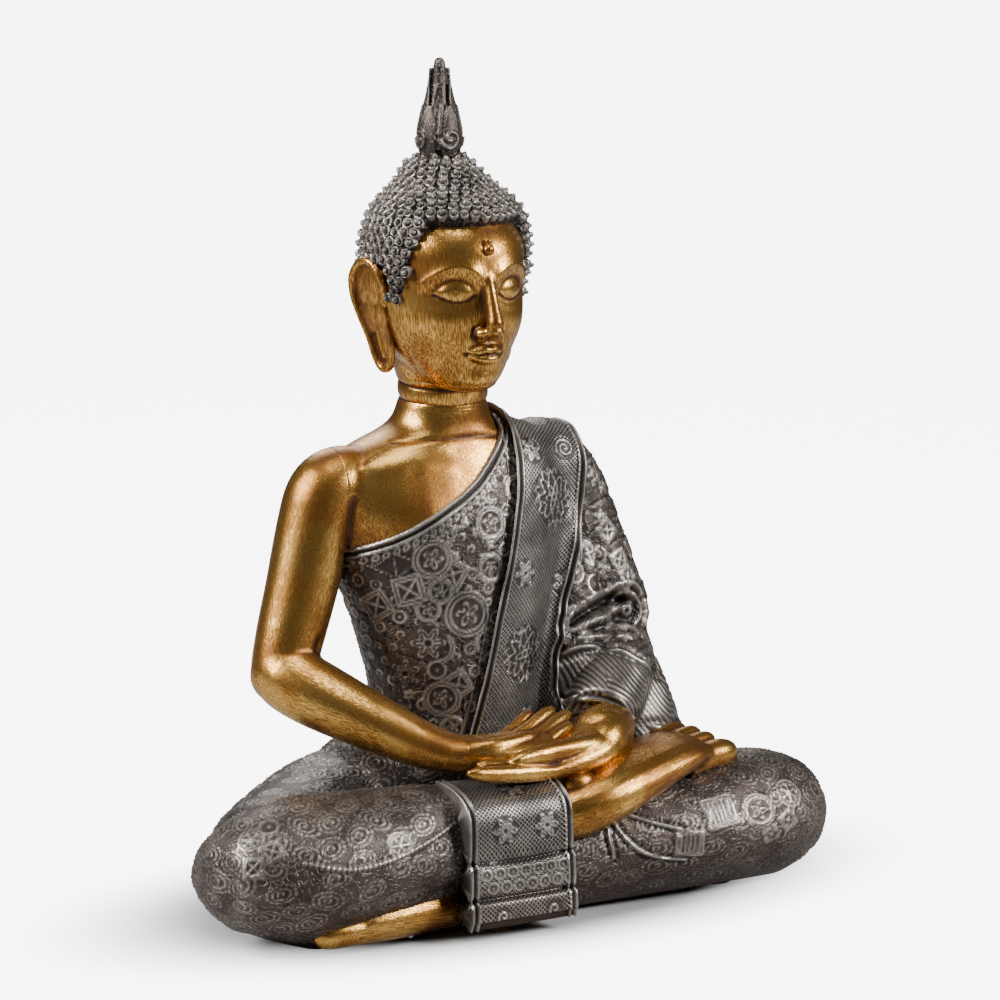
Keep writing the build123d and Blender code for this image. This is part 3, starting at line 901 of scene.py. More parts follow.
def robe_torso_mesh():
    """The robe round the body, with its border and scored ground."""
    robe = skin([(TORSO, True)], ROBE_CELL, 9)
    work = Ornament(robe)
    points = work.points
    below = under_neckline(points)
    chest_rise = ((points[:, 0] + 27) / 22) ** 2 + ((points[:, 2] - 186) / 16) ** 2
    work.height += 2.0 * np.exp(-chest_rise) * (points[:, 1] < 15)
    work.height += -6.0 + 7.6 * step(-0.9, 0.9, below)
    round_way = np.arctan2(points[:, 1] - TORSO_MIDDLE_Y, points[:, 0]) * TORSO_RADIUS
    slope = points[:, 2] + SCORE_RISE * round_way
    work.scored = np.maximum(
        stroke((slope % SCORE_ROWS) - SCORE_ROWS / 2, 0.45),
        stroke((round_way % SCORE_COLUMNS) - SCORE_COLUMNS / 2, 0.45)
    )
    ornamented = (below > 9) & (points[:, 2] > 70)
    work.fill(["ring", "curl", "flower", "ring"], ornamented, 7.0, 2.7, 12)
    work.fill(["star", "flower", "crossed", "star"], ornamented, 19.0, 6.6, 11)
    for kind, spot, size, turn in [
        ("triangles", (-43.8, 1.1, 167.5), 9, -22),
        ("star", (-25.8, -7.8, 169.1), 8.8, 0),
        ("star", (4.5, -9.6, 183.3), 7.8, 20),
        ("crossed", (-13.6, -8.3, 186.6), 4.6, 20),
        ("crossed", (-35.8, -3.6, 154.6), 6.6, 15),
        ("star", (-22.5, -9.6, 153.9), 5.8, 10),
        ("star", (-9.9, -12.9, 142.2), 10.4, 30),
        ("flower", (-27.6, -7.1, 129.1), 8.0, 0),
        ("ring", (-23.6, -8.4, 116.0), 4.0, 0),
        ("star", (-21.3, -9.2, 101.9), 8.2, 0),
    ]:
        work.stamp(kind, spot, size, turn)
    beads = stroke(np.abs(np.hypot((below - 7.2), ((points[:, 0] * 1.15) % 4.4) - 2.2) - 1.2), 0.5)
    chain = (below > 5.2) & (below < 9.2)
    work.line = np.where(chain, beads, work.line)
    hem = step(5.2, 4.6, below)
    edge = np.maximum(bump(below - 0.9, 0.9), bump(below - HEM_WIDTH, 0.7))
    work.line = work.line * (1 - hem) + edge * hem * (below > -1)
    work.plain = np.maximum(work.plain, hem)
    work.height += 0.7 * edge - 0.5 * bump(below - 2.9, 1.0)
    work.press(8, 0.5, 0.75)
    return robe


chest_and_arm = chest_and_arm_mesh()
finish_piece(shoulder_part(chest_and_arm, False), "chest_skin", BODY_GOLD, ["chest_casting"])
finish_piece(shoulder_part(chest_and_arm, True), "arm_skin", BODY_GOLD, ["right_arm"])
torso_robe = robe_torso_mesh()


# ---- sleeve
SLEEVE_SKIN = [(SLEEVE_UPPER, False), (SLEEVE_LOWER, False), (SLEEVE_TAIL, True), (SLEEVE_WEB, True)]
SWIRL = (86.0, -1.0, 132.0)
SLEEVE_HEM = [
    (40, -9, 116), (46.9, -10.1, 117.3), (54.5, -12.5, 119.3), (63.6, -15.3, 119.5), (71.7, -20.3, 116.5),
    (82.8, -23.5, 109.5), (94, -20, 104)
]
SLEEVE_EDGE = [
    (36, -12, 95), (39.9, -18, 95.5), (44, -30, 98.4), (49.7, -36.5, 98.5), (56.6, -41, 94.9),
    (65.3, -41, 88.9), (78.6, -37, 82.7), (92, -34, 80.0), (104, -24, 80)
]


def sleeve_mesh():
    """The robe over the left arm, with its ornament."""
    sleeve = skin(SLEEVE_SKIN, ROBE_CELL, 8)
    work = Ornament(sleeve)
    points = work.points
    across = points[:, 0] * 0.5 - points[:, 1] * 0.6
    lattice = np.minimum(
        np.abs(((points[:, 2] + 1.1 * across) % 13.0) - 6.5),
        np.abs(((points[:, 2] - 1.1 * across) % 13.0) - 6.5)
    )
    work.scored = stroke(lattice * 0.75, 0.5)
    above_hem = points[:, 2] - np.interp(points[:, 0], [r[0] for r in SLEEVE_HEM], [r[2] for r in SLEEVE_HEM])
    front_low = (above_hem < 0) & (points[:, 1] < 12)
    work.fill(["flower", "ring", "crossed", "curl", "flower"], ~front_low, 12.5, 4.4, 5)
    for kind, spot, size, turn in [
        ("crossed", (85.8, 4.5, 155.9), 4.6, 20),
        ("crossed", (89.7, 3.3, 148.3), 4.2, 30),
        ("crossed", (79.8, 7.1, 170.8), 4.8, 40),
        ("flower", (74.0, 3.9, 152.2), 5.2, 0),
        ("crossed", (67.1, 3.8, 161.3), 4.8, 45),
        ("flower", (75.8, 11.8, 197.5), 5.6, 0),
        ("ring", (82.7, 1.2, 143.0), 2.6, 0),
    ]:
        work.stamp(kind, spot, size, turn)
    from_swirl = np.linalg.norm(points - np.array(SWIRL), axis=1)
    ripple = np.cos((from_swirl - 2.0) * math.tau / 6.2) * step(19, 9, from_swirl)
    right_of = step(-8, 4, (points[:, 0] - SWIRL[0]) * 0.8 + (points[:, 2] - SWIRL[2]) * 0.8)
    work.height += 1.0 * ripple * right_of - 1.8 * bump(from_swirl - 2.0, 4.5) * (1 - 0.6 * right_of)
    work.line = np.where(
        from_swirl < 15,
        np.maximum(0.8 * step(0.55, 0.95, ripple) * right_of, work.line * step(9, 15, from_swirl)), work.line
    )
    work.groove(
        [(44, -4, 129), (53.5, -6.5, 131.5), (65.8, -5.0, 135.9), (78.0, 1.1, 137.5), (84.4, 0.2, 138.0)], 2.6,
        4.2, 1.6
    )
    work.groove([(50, -8, 124), (62, -9, 127), (74, -9, 127), (84, -7, 124)], 2.2, 2.2, 1.0)
    work.groove([(62, 6, 180), (64, 5, 160), (60, 2, 144)], 3.0, 2.4, 1.2)
    nearest = np.full(len(points), 1e9)
    comb = np.zeros(len(points))
    for focus, centre in (
        ((18, 100), (44, 108)), ((46, 82), (58, 96)), ((98, 124), (70, 108)), ((112, 108), (86, 92)),
        ((70, 60), (104, 84))
    ):
        from_cell = np.hypot(points[:, 0] - centre[0], points[:, 2] - centre[1])
        from_focus = np.hypot(points[:, 0] - focus[0], points[:, 2] - focus[1])
        closer = from_cell < nearest
        nearest[closer] = from_cell[closer]
        comb[closer] = (0.5 + 0.5 * np.cos(from_focus * math.tau / 2.5))[closer]
    work.line = np.where(front_low, comb * 0.8, work.line)
    work.plain = np.where(front_low, 1.0, work.plain)
    work.trace(SLEEVE_HEM, 1.1, 1.1, hollow=1.2)
    work.trace(SLEEVE_EDGE, 1.1, 0.9, hollow=0.8)
    work.press(8, 0.5, 0.75)
    return sleeve


sleeve = sleeve_mesh()


# ---- the folded sash over the left shoulder
SASH_ROWS = [  # height, left edge x, right edge x
    (58.0, -22.0, 33.0), (72.0, -17.0, 36.0), (87.6, -11.3, 38.1),
            (110.0, -4.4, 42.0), (138.2, 2.1, 49.5), (165.8, 10.6, 60.0),
    (190.0, 17.0, 66.5), (206.0, 22.0, 68.5), (222.0, 26.0, 70.0),
]
SASH_RAISE = 3.0
SASH_DRAPE_ROUNDS = 160  # how far the cloth bridges the dip beside the arm
SASH_ACROSS, SASH_ALONG = 92, 480  # cells
SASH_TURN_Z, SASH_MIDDLE_Y = 196.0, 27.0  # it turns over the shoulder round this line
SASH_OVER, SASH_RISE = 92.0, 24.0  # its length over the shoulder, and its rise there
SASH_BACK_Z = 66.0
SASH_THICKNESS = 5.5
RAY_START = 120.0


def sash_mesh():
    """A band laid over the shoulder: straight in from the front, round the shoulder, and down the back."""
    under = surface_of(torso_robe, sleeve)
    rows = np.array(SASH_ROWS)
    front = SASH_TURN_Z - rows[0, 0]
    total = front + SASH_OVER + SASH_TURN_Z - SASH_BACK_Z
    bm = bmesh.new()
    verts = bmesh.ops.create_grid(bm, x_segments=SASH_ACROSS, y_segments=SASH_ALONG, size=0.5)["verts"]
    bm.verts.index_update()
    outward = [None] * len(bm.verts)
    for vert in verts:
        share, walk = vert.co.x + 0.5, (vert.co.y + 0.5) * total
        if walk < front:
            z, ray = rows[0, 0] + walk, Vector((0, 1, 0))
        elif walk < front + SASH_OVER:
            z, angle = SASH_TURN_Z, math.pi * (walk - front) / SASH_OVER
            ray = Vector((0, math.cos(angle), -math.sin(angle)))
        else:
            z, ray = SASH_TURN_Z - (walk - front - SASH_OVER), Vector((0, -1, 0))
        level = z + (math.sin(angle) * SASH_RISE if front <= walk < front + SASH_OVER else 0)
        left, right = np.interp(level, rows[:, 0], rows[:, 1]), np.interp(level, rows[:, 0], rows[:, 2])
        x = left + (right - left) * share
        aim = Vector((x, SASH_MIDDLE_Y, z))
        hit, _, _, _ = under.ray_cast(aim - ray * RAY_START, ray)
        vert.co = (hit if hit is not None else aim) - ray * SASH_RAISE
        outward[vert.index] = tuple(-ray)
    mesh = as_mesh(bm)
    points, edges = read_points(mesh), read_edges(mesh)
    outward = np.array(outward)
    for _ in range(SASH_DRAPE_ROUNDS):
        pull = ((averaged(points, edges, 1) - points) * outward).sum(axis=1)
        points = points + outward * np.maximum(pull, 0.0)[:, None]
    write_points(mesh, averaged(points, edges, 12))
    return mesh


def sash_piece():
    mesh = sash_mesh()
    points = read_points(mesh)
    count = len(points)
    grid = points.reshape(SASH_ALONG + 1, SASH_ACROSS + 1, 3)
    columns = np.cumsum(
        np.r_[np.zeros((1, grid.shape[0])), np.linalg.norm(np.diff(grid, axis=1), axis=2).T], axis=0
    ).T
    lengths = np.cumsum(
        np.r_[np.zeros((1, grid.shape[1])), np.linalg.norm(np.diff(grid, axis=0), axis=2)], axis=0
    )
    from_left = columns.ravel()
    from_right = (columns[:, -1:] - columns).ravel()
    walk = np.repeat(lengths[:, SASH_ACROSS // 2], SASH_ACROSS + 1)
    note_vector(mesh, "cloth", np.column_stack([from_left, walk, np.zeros(count)]))
    if np.mean(read_normals(mesh)[: count // 3, 1]) > 0:
        mesh.flip_normals()
    work = Ornament(mesh)
    for kind, spot, size, turn in [
        ("blossom", (42.8, 1.1, 191.2), 13.5, 0),
        ("flower", (20.8, -10.0, 158.3), 6.2, 0),
        ("flower", (50.5, -0.3, 149.0), 5.6, 20),
        ("blossom", (19.5, -9.9, 120.0), 13.0, 10),
        ("curl", (57.0, 9.0, 213.0), 5.0, 0),
        ("flower", (34.0, 4.0, 214.0), 6.0, 0),
        ("blossom", (45.0, 52.0, 196.0), 13.0, 0),
        ("flower", (28.0, 60.0, 160.0), 6.5, 0),
        ("blossom", (20.0, 56.0, 122.0), 13.0, 0),
        ("ring", (0, -12, 100), 2.4, 0),
        ("flower", (22.0, -10.0, 88.0), 6.0, 0),
    ]:
        work.stamp(kind, spot, size, turn)
    for side in (from_left, from_right):
        hem = step(4.6, 4.0, side)
        edge = np.maximum(bump(side - 0.7, 0.8), bump(side - 4.0, 0.75))
        work.line = work.line * (1 - hem) + edge * hem
        work.plain = np.maximum(work.plain, hem)
        work.height += 0.6 * edge - 0.5 * bump(side - 2.3, 0.9)
    work.press(6, 0.4)
    return evaluated(mesh, "SOLIDIFY", thickness=SASH_THICKNESS, offset=-1.0)


# ---- robe over the legs
LEG_FLOOR = 7.0
ORNAMENT_FLOOR = 10.0
FRONT_LIFT, KNEE_LIFT = 5.0, 7.0  # the underside curves up towards the front and under the right knee
FRONT_CURVE_Y, KNEE_CURVE_X, CURVE_Z = (-54, -78), (-110, -146), (50, 12)
PLATE_GAP = 0.3
PLATE_RECESS = 11.3
LEG_SPLIT_X = -12.0
LEG_SKIN = [
    (RIGHT_THIGH, False), (RIGHT_CALF, False), (LEFT_THIGH, False), (LEFT_CALF, False), (PELVIS, True),
    (LAP_MASS, True)
]
LEG_MOTIFS = [
    ("wheel", (-82.9, -79.7, 55.5), 6.4, 0), ("ring", (-138.3, -59.3, 66.9), 4.2, 0),
    ("wheel", (-147.6, -59.8, 62.3), 5.8, 0), ("crossed", (-141.5, -69.4, 58.3), 4.6, 30),
    ("crossed", (-150.2, -67.9, 51.3), 4.6, 5), ("basket", (89.5, -79.6, 48.6), 7.6, 8),
    ("basket", (71.4, -81.7, 34.0), 6.8, -4), ("star", (110.3, -81.7, 46.8), 8.6, 0),
    ("wheel", (131.2, -77.6, 52.8), 7.0, 20), ("ring", (152.1, -68.1, 49.2), 4.0, 0),
    ("crossed", (126.4, -82.7, 39.5), 4.6, 30), ("crossed", (115.6, -84.2, 33.4), 4.2, 15),
    ("oval", (27.0, -66.0, 42.0), 6.5, 30), ("oval", (46.0, -74.0, 36.0), 7.0, 20)
]
RIGHT_FOLD = [
    (-130.2, -78.2, 53.3), (-119.5, -81.8, 50.4), (-107.2, -83.2, 48.5), (-89.0, -82.4, 50.0),
    (-68.2, -78.2, 54.5), (-49.9, -72.5, 60.1)
]
LEFT_FOLDS = [
    [(34.5, -66.2, 50.8), (32.2, -72.6, 41.0), (33.6, -74.9, 30.3)],
    [(43.5, -68.5, 51.1), (53.8, -74.2, 47.2), (67.3, -79.3, 42.7)],
    [(36.1, -68.0, 49.5), (39.9, -74.4, 40.4), (48.5, -77.4, 31.3), (58.9, -78.6, 26.7), (70.4, -79.9, 24.5)],
]


def legs_mesh():
    """Both legs and the hips in one skin, with a recess for the plate below."""
    legs = skin(LEG_SKIN, LEG_CELL, 9)
    work = Ornament(legs)
    points = work.points
    work.fill(["oval"], points[:, 2] > ORNAMENT_FLOOR, 11.2, 7.6, 3)
    for kind, spot, size, turn in LEG_MOTIFS:
        work.stamp(kind, spot, size, turn)
    work.trace(RIGHT_FOLD, 0.9, 0.8, dots=2.6)
    for path in LEFT_FOLDS:
        work.trace(path, 0.7, 0.7, hollow=0.5)
    work.height = np.where(points[:, 2] < ORNAMENT_FLOOR, 0.0, work.height)
    work.line = np.where(points[:, 2] < ORNAMENT_FLOOR, 0.0, work.line)
    work.press(8, 0.5, 0.55)
    points = read_points(legs)
    points[:, 2] = np.maximum(points[:, 2], LEG_FLOOR)
    raised = np.maximum(
        FRONT_LIFT * step(*FRONT_CURVE_Y, points[:, 1]), KNEE_LIFT * step(*KNEE_CURVE_X, points[:, 0])
    )
    points[:, 2] += raised * step(*CURVE_Z, points[:, 2])
    flat_frame = points * STRETCH + CENTRING
    plate_low, plate_high = (np.array(corner) * 1000 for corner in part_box("base_plate"))
    radius = (plate_high[1] - plate_low[1]) / 2
    middle = (plate_low + plate_high) / 2
    reach = (plate_high[0] - plate_low[0]) / 2 - radius
    beyond = np.maximum(np.abs(flat_frame[:, 0] - middle[0]) - reach, 0)
    inside = np.hypot(beyond, flat_frame[:, 1] - middle[1]) < radius + PLATE_GAP
    points[:, 2] = np.where(inside & (points[:, 2] < PLATE_RECESS), PLATE_RECESS, points[:, 2])
    write_points(legs, points)
    return legs


# ---- the end of the robe that hangs over the crossed shins
CLOTH_LEFT, CLOTH_RIGHT = -48.0, 5.5
CLOTH_FALL = [
    (-50, 73.5), (-56, 73.8), (-62, 73.5), (-70, 72.0), (-77.5, 68.5), (-81.5, 62.5), (-82.6, 55),
    (-82.6, 44.8), (-81.0, 42.6), (-83.8, 40.6), (-84.8, 34), (-84.6, 27.5), (-82.6, 25.2), (-85.6, 23.2),
    (-86.4, 18), (-86.0, 14), (-85.0, 11.4)
]
CLOTH_ACROSS = 74
CLOTH_THICKNESS = 15.0


def thickened(mesh, inward):
    """Closes a sheet into a slab. inward is each vertex's move to the far side."""
    bm = bmesh.new()
    bm.from_mesh(mesh)
    bpy.data.meshes.remove(mesh)
    near = list(bm.faces)
    copy = bmesh.ops.duplicate(bm, geom=list(bm.verts) + list(bm.edges) + near)
    bm.verts.ensure_lookup_table()
    for index, move in enumerate(inward):
        bm.verts[len(inward) + index].co += Vector(move)
    bmesh.ops.reverse_faces(bm, faces=[f for f in copy["geom"] if isinstance(f, bmesh.types.BMFace)])
    rims = [edge for edge in bm.edges if edge.is_boundary]
    bmesh.ops.bridge_loops(bm, edges=rims)
    return as_mesh(bm)


def cloth_mesh():
    """The cloth that hangs in front, with its folds and border."""
    fall = smooth_rows(CLOTH_FALL, 11)
    along = len(fall) - 1
    walked = np.r_[0.0, np.cumsum(np.linalg.norm(np.diff(fall, axis=0), axis=1))]
    bm = bmesh.new()
    verts = bmesh.ops.create_grid(bm, x_segments=CLOTH_ACROSS, y_segments=along, size=0.5)["verts"]
    for vert in verts:
        share, row = vert.co.x + 0.5, round((vert.co.y + 0.5) * along)
        y, z = fall[row]
        widen = 1.5 * (walked[row] / walked[-1])
        x = CLOTH_LEFT - widen + (CLOTH_RIGHT - CLOTH_LEFT + 2 * widen) * share
        sag = 0.9 * math.sin(share * math.pi)
        vert.co = (x, y - sag * (z < 70), z - 1.2 * math.sin(share * math.pi) * (40 < z < 46))
    mesh = as_mesh(bm)
    count = len(mesh.vertices)
    points = read_points(mesh)
    row_length = CLOTH_ACROSS + 1
    across = np.tile(np.linspace(0, CLOTH_RIGHT - CLOTH_LEFT, row_length), along + 1)
    down = np.repeat(walked, row_length)
    note_vector(mesh, "cloth", np.column_stack([across, down, np.zeros(count)]))
    if np.mean(read_normals(mesh)[count // 2 :, 1]) > 0:
        mesh.flip_normals()
    work = Ornament(mesh)
    middle_tier = (points[:, 2] < 40) & (points[:, 2] > 27)
    for k in range(7):
        for level, shift in ((37.0, 0.0), (30.6, 3.4)):
            work.stamp("ring", (CLOTH_LEFT + 7 + 6.8 * k + shift, -85.5, level), 2.5, 0)
    for spot in ((-30, -82.6, 56), (-8, -82.6, 56), (-19, -70, 72.5)):
        work.stamp("flower", spot, 6.0, 0)
    for spot in ((-33, -86.4, 17), (-6, -86.4, 17)):
        work.stamp("curl", spot, 3.6, 0)
    work.line = np.maximum(work.line, 0.35 * middle_tier * stroke((points[:, 2] % 3.1) - 1.5, 0.5))
    border = step(15.6, 14.8, points[:, 2]) * (points[:, 1] < -70)
    work.line *= 1 - border
    work.plain = np.maximum(work.plain, border)
    work.height -= 0.8 * border
    for side in (across, across[::-1]):
        hem = step(4.4, 3.8, side)
        edge = np.maximum(bump(side - 0.6, 0.8), bump(side - 3.8, 0.75))
        work.line = np.where(side < 0.3, 0.0, work.line * (1 - hem) + edge * hem)
        work.plain = np.maximum(work.plain, hem)
        work.height += 0.7 * edge - 0.6 * bump(side - 2.2, 0.9)
    work.press(5, 0.4)
    inward = averaged(-read_normals(mesh), read_edges(mesh), 60)
    inward[:, 0] = 0.0
    inward /= np.linalg.norm(inward, axis=1)[:, None]
    return thickened(mesh, inward * CLOTH_THICKNESS)


legs = legs_mesh()
finish_piece(sash_piece(), "sash_cloth", WOVEN, ["shoulder_sash"])
finish_piece(torso_robe, "robe_round_torso", ROBE, ["robe_torso"])
finish_piece(sleeve, "sleeve_folds", ROBE, ["left_sleeve"])
for side, word in ((-1, "right"), (1, "left")):
    finish_piece(split_off(legs, LEG_SPLIT_X, side), f"robe_{word}_leg", ROBE, ["lap_casting"])
finish_piece(cloth_mesh(), "cloth_fall", WOVEN, ["hanging_cloth"])


# ---- hands, palms up, the right in the left. Rows are (x, y, z, half width, half height).
RIGHT_PALM = [
    (-46, -36, 87, 7, 5), (-37, -43.5, 85.3, 10.8, 8.2), (-27, -48, 85, 12.5, 8), (-14, -49.5, 85, 15, 7.2),
    (-2, -49, 86, 16, 6), (7, -47, 87.5, 14, 4.5)
]
RIGHT_FINGERS = [
    [
        (-6, -57.5, 84.6, 3.8, 3.6), (6, -56.0, 86.6, 3.6, 3.4), (16, -52, 89.5, 3.3, 3.1),
        (24, -48, 91.0, 2.8, 2.6), (28, -45.6, 91.2, 1.2, 1.2)
    ],
    [
        (-3, -52.5, 87.0, 3.9, 3.7), (9, -50, 90.0, 3.7, 3.5), (19, -45.6, 93.4, 3.4, 3.2),
        (27, -41.6, 95.0, 2.9, 2.7), (31, -39.6, 95.2, 1.2, 1.2)
    ],
    [
        (-4, -46, 88.2, 3.8, 3.6), (6, -44, 92.0, 3.6, 3.4), (14, -41, 95.4, 3.3, 3.1),
        (20.5, -38, 97.0, 2.8, 2.6), (24, -36.4, 97.4, 1.2, 1.2)
    ],
    [
        (-7, -40, 88, 3.4, 3.2), (1, -38, 91, 3.2, 3.0), (7, -35.6, 94, 2.9, 2.8),
        (11.5, -33.6, 95.6, 2.4, 2.3), (14, -32.4, 96, 1.0, 1.0)
    ]
]
RIGHT_THUMB = [
    (-32, -53, 87, 5.5, 5), (-22, -56.5, 88.4, 4.9, 4.7), (-12, -57.0, 89.2, 4.2, 4.0),
    (-3, -55.5, 90.2, 3.8, 3.6), (2, -54, 90.6, 2.8, 2.7), (4.5, -53.2, 90.6, 1.0, 1.0)
]
LEFT_PALM = [
    (56, -34, 86, 13, 12), (46, -43, 84, 15, 12.5), (34, -50, 81, 17, 11), (20, -54, 78.5, 17, 9),
    (6, -56, 77, 15.5, 7.5), (-6, -57, 77, 14, 6)
]
LEFT_FINGERS = [
    [
        (24, -60, 76, 5.4, 5.4), (6, -66.0, 76.4, 4.8, 4.8), (-10, -69.2, 77.6, 4.4, 4.5),
        (-26, -71.0, 79.4, 4.0, 4.1), (-38, -71.6, 81.2, 3.4, 3.4), (-43.5, -71.6, 82.2, 1.3, 1.3)
    ],
    [
        (10, -59, 79, 4.8, 4.2), (-8, -62.4, 80.2, 4.4, 3.9), (-22, -64.6, 81.6, 3.9, 3.5),
        (-31, -65.4, 83, 3.1, 2.9), (-35, -65.4, 83.6, 1.2, 1.2)
    ],
    [
        (6, -54, 79.4, 4.6, 4.0), (-10, -57, 80.4, 4.1, 3.7), (-22, -59.4, 81.6, 3.6, 3.2),
        (-30, -60.4, 82.4, 1.4, 1.4)
    ]
]
LEFT_THUMB = [
    (40, -54, 82, 8.5, 7.5), (26, -60.5, 84, 6.4, 6.2), (10, -64.6, 84.8, 5.2, 5.1),
    (-4, -66.4, 84.6, 4.5, 4.4), (-14, -67.6, 83.8, 3.6, 3.5), (-19, -68.2, 83.2, 1.4, 1.4)
]
THENAR = [(52, -46, 84, 9, 12), (42, -54, 82, 9.5, 12), (30, -60, 78, 7, 8)]


def hand_mesh(parts, balls, seams, cell=HAND_CELL):
    """A hand or a foot: limbs and balls in one skin, with fine seams pressed in."""
    bm = bmesh.new()
    for rows in parts:
        limb(bm, rows, sides=20)
    for centre, radii in balls:
        ball(bm, centre, radii)
    hand = one_skin(bm, cell, 4)
    points = read_points(hand)
    height = np.zeros(len(points))
    for path in seams:
        distance, _ = nearest_on_path(points, smooth_rows(path, 4))
        height -= 0.9 * bump(distance, 0.9)
    pushed(hand, height)
    note_hollows(hand, 8, 0.4)
    note_strokes(hand, smooth_rows([row[:3] for row in parts[0]], 4))
    return hand


# ---- feet
RIGHT_SOLE = [
    (6, -58, 52, 14, 12), (18, -62, 55, 17, 14), (32, -63, 60, 19, 14), (50, -59, 65.5, 20, 12.5),
    (68, -53, 70, 21, 10.5), (80, -48.5, 72, 21, 9.2), (90, -44.5, 72.6, 19, 7.4)
]
RIGHT_TOES = [
    [
        (83.5, -58, 68, 7.6, 7.0), (95.5, -56, 69.4, 7.0, 6.6), (105.5, -53.6, 69.6, 7.4, 7.0),
        (112.5, -51.6, 69.2, 6.0, 5.8), (116.5, -50.6, 69.0, 2.4, 2.4)
    ],
    [
        (85.5, -50, 73, 4.8, 4.6), (96.5, -47, 74.6, 4.5, 4.3), (104.5, -44.6, 74.8, 4.1, 4.0),
        (109.5, -43.2, 74.6, 1.6, 1.6)
    ],
    [
        (83.5, -43.5, 75.4, 4.5, 4.3), (93.5, -40.4, 76.8, 4.2, 4.0), (101, -38, 77.0, 3.8, 3.7),
        (105.5, -36.8, 76.8, 1.5, 1.5)
    ],
    [
        (80.5, -37.4, 77.0, 4.3, 4.1), (89.5, -34.2, 78.2, 4.0, 3.8), (96.5, -31.8, 78.4, 3.6, 3.5),
        (101, -30.6, 78.2, 1.4, 1.4)
    ],
    [
        (75.5, -31.6, 77.8, 4.2, 4.0), (83.5, -28.4, 78.8, 3.8, 3.7), (90, -26, 79.0, 3.4, 3.3),
        (94, -25, 78.8, 1.3, 1.3)
    ]
]
LEFT_SOLE = [
    (-20, -56, 20, 12, 12), (-40, -60, 19.5, 12, 11.5), (-60, -63, 19, 12, 11), (-76, -65, 18.5, 11.5, 10.5),
    (-92, -66, 17.5, 10.5, 9.5), (-102, -66, 16.5, 8.5, 8)
]
LEFT_TOES = [
    [
        (-94, -70.5, 16.4, 5.4, 6.4), (-105, -70.8, 15.8, 5.2, 6.2), (-113, -69.6, 15.2, 5.4, 6.0),
        (-118, -68, 14.8, 4.2, 4.8), (-121, -67, 14.6, 1.6, 1.8)
    ],
    [
        (-96, -62.6, 17.6, 4.4, 5.0), (-106, -62.2, 17.0, 4.1, 4.8), (-112, -61.6, 16.4, 3.4, 3.8),
        (-115, -61.2, 16.0, 1.4, 1.4)
    ]
]
LEFT_HEEL_FLOOR = 7.2

finish_piece(
    hand_mesh(
        [RIGHT_PALM, RIGHT_THUMB, *RIGHT_FINGERS], [((-28, -51, 84), (10, 7.5, 7.5))],
        [[(-24, -50, 92), (-8, -53, 91.5), (0, -52, 91)]]
    ),
    "right_hand_skin", BODY_GOLD, ["right_hand"]
)
finish_piece(
    hand_mesh(
        [LEFT_PALM, LEFT_THUMB, THENAR, *LEFT_FINGERS], [((44, -46, 86), (14, 12, 12))],
        [[(36, -64, 76), (20, -67.5, 79), (2, -70, 79.6), (-12, -71, 79.2)]]
    ),
    "left_hand_skin", BODY_GOLD, ["left_hand"]
)
finish_piece(
    hand_mesh([RIGHT_SOLE, *RIGHT_TOES], [((20, -66, 68), (9, 6, 6.5))], [], FOOT_CELL), "right_foot_skin",
    BODY_GOLD, ["right_foot"]
)
left_foot = hand_mesh([LEFT_SOLE, *LEFT_TOES], [], [], FOOT_CELL)
points = read_points(left_foot)
points[:, 2] = np.maximum(points[:, 2], LEFT_HEEL_FLOOR)
write_points(left_foot, points)
finish_piece(left_foot, "left_foot_skin", BODY_GOLD, ["left_foot"])


# ---- head: a skull with soft forms, then the nose and lips laid on it, then the fine lines
EYE_X, EYE_Z = 14.6, 293.5
BROW = [
    (3.2, -15.5, 298.5), (6, -16.2, 302.6), (11, -16.2, 305.4), (17, -14.2, 305.8), (23, -10.0, 303.0),
    (28, -4.0, 297.5)
]
NOSE = [
    (0, -12.8, 306, 2.6, 2.2), (0, -15.4, 301, 2.6, 2.6), (0, -17.6, 294, 2.7, 3.2), (0, -20.4, 285, 3.3, 3.8),
    (0, -22.4, 278.4, 4.1, 4.3), (0, -21.2, 274.6, 3.6, 3.0)
]
UPPER_LIP = [
    (-10.0, -12.4, 265.4, 0.8, 0.8), (-6, -15.0, 266.2, 1.7, 1.7), (-2.2, -16.9, 267.1, 2.1, 2.1),
    (0, -16.8, 266.7, 2.0, 2.0), (2.2, -16.9, 267.1, 2.1, 2.1), (6, -15.0, 266.2, 1.7, 1.7),
    (10.0, -12.4, 265.4, 0.8, 0.8)
]
LOWER_LIP = [
    (-7.8, -13.2, 264.0, 1.0, 1.0), (-4.2, -15.6, 263.0, 2.2, 2.2), (0, -16.6, 262.5, 2.6, 2.5),
    (4.2, -15.6, 263.0, 2.2, 2.2), (7.8, -13.2, 264.0, 1.0, 1.0)
]
LID_EDGE = [
    (6.8, -13.2, 292.4), (9.6, -14.8, 290.2), (13.4, -15.6, 289.2), (17.2, -15.0, 289.4), (20.6, -12.9, 290.8),
    (23.2, -10.2, 292.4)
]
LID_FOLD = [
    (6.8, -12.8, 294.4), (10, -14.4, 298.2), (14.6, -14.0, 299.8), (19.4, -11.6, 298.6), (23.4, -8.8, 294.6)
]
MOUTH_LINE = [
    (-9.6, -12.3, 265.0), (-5, -16.0, 264.7), (-1.8, -17.6, 265.1), (0, -17.6, 264.7), (1.8, -17.6, 265.1),
    (5, -16.0, 264.7), (9.6, -12.3, 265.0)
]
NECK_CREASES = (245.0, 237.0)


def both_sides(rows):
    """The rows, and the rows reflected in the middle plane."""
    return rows, [(-row[0], *row[1:]) for row in rows]


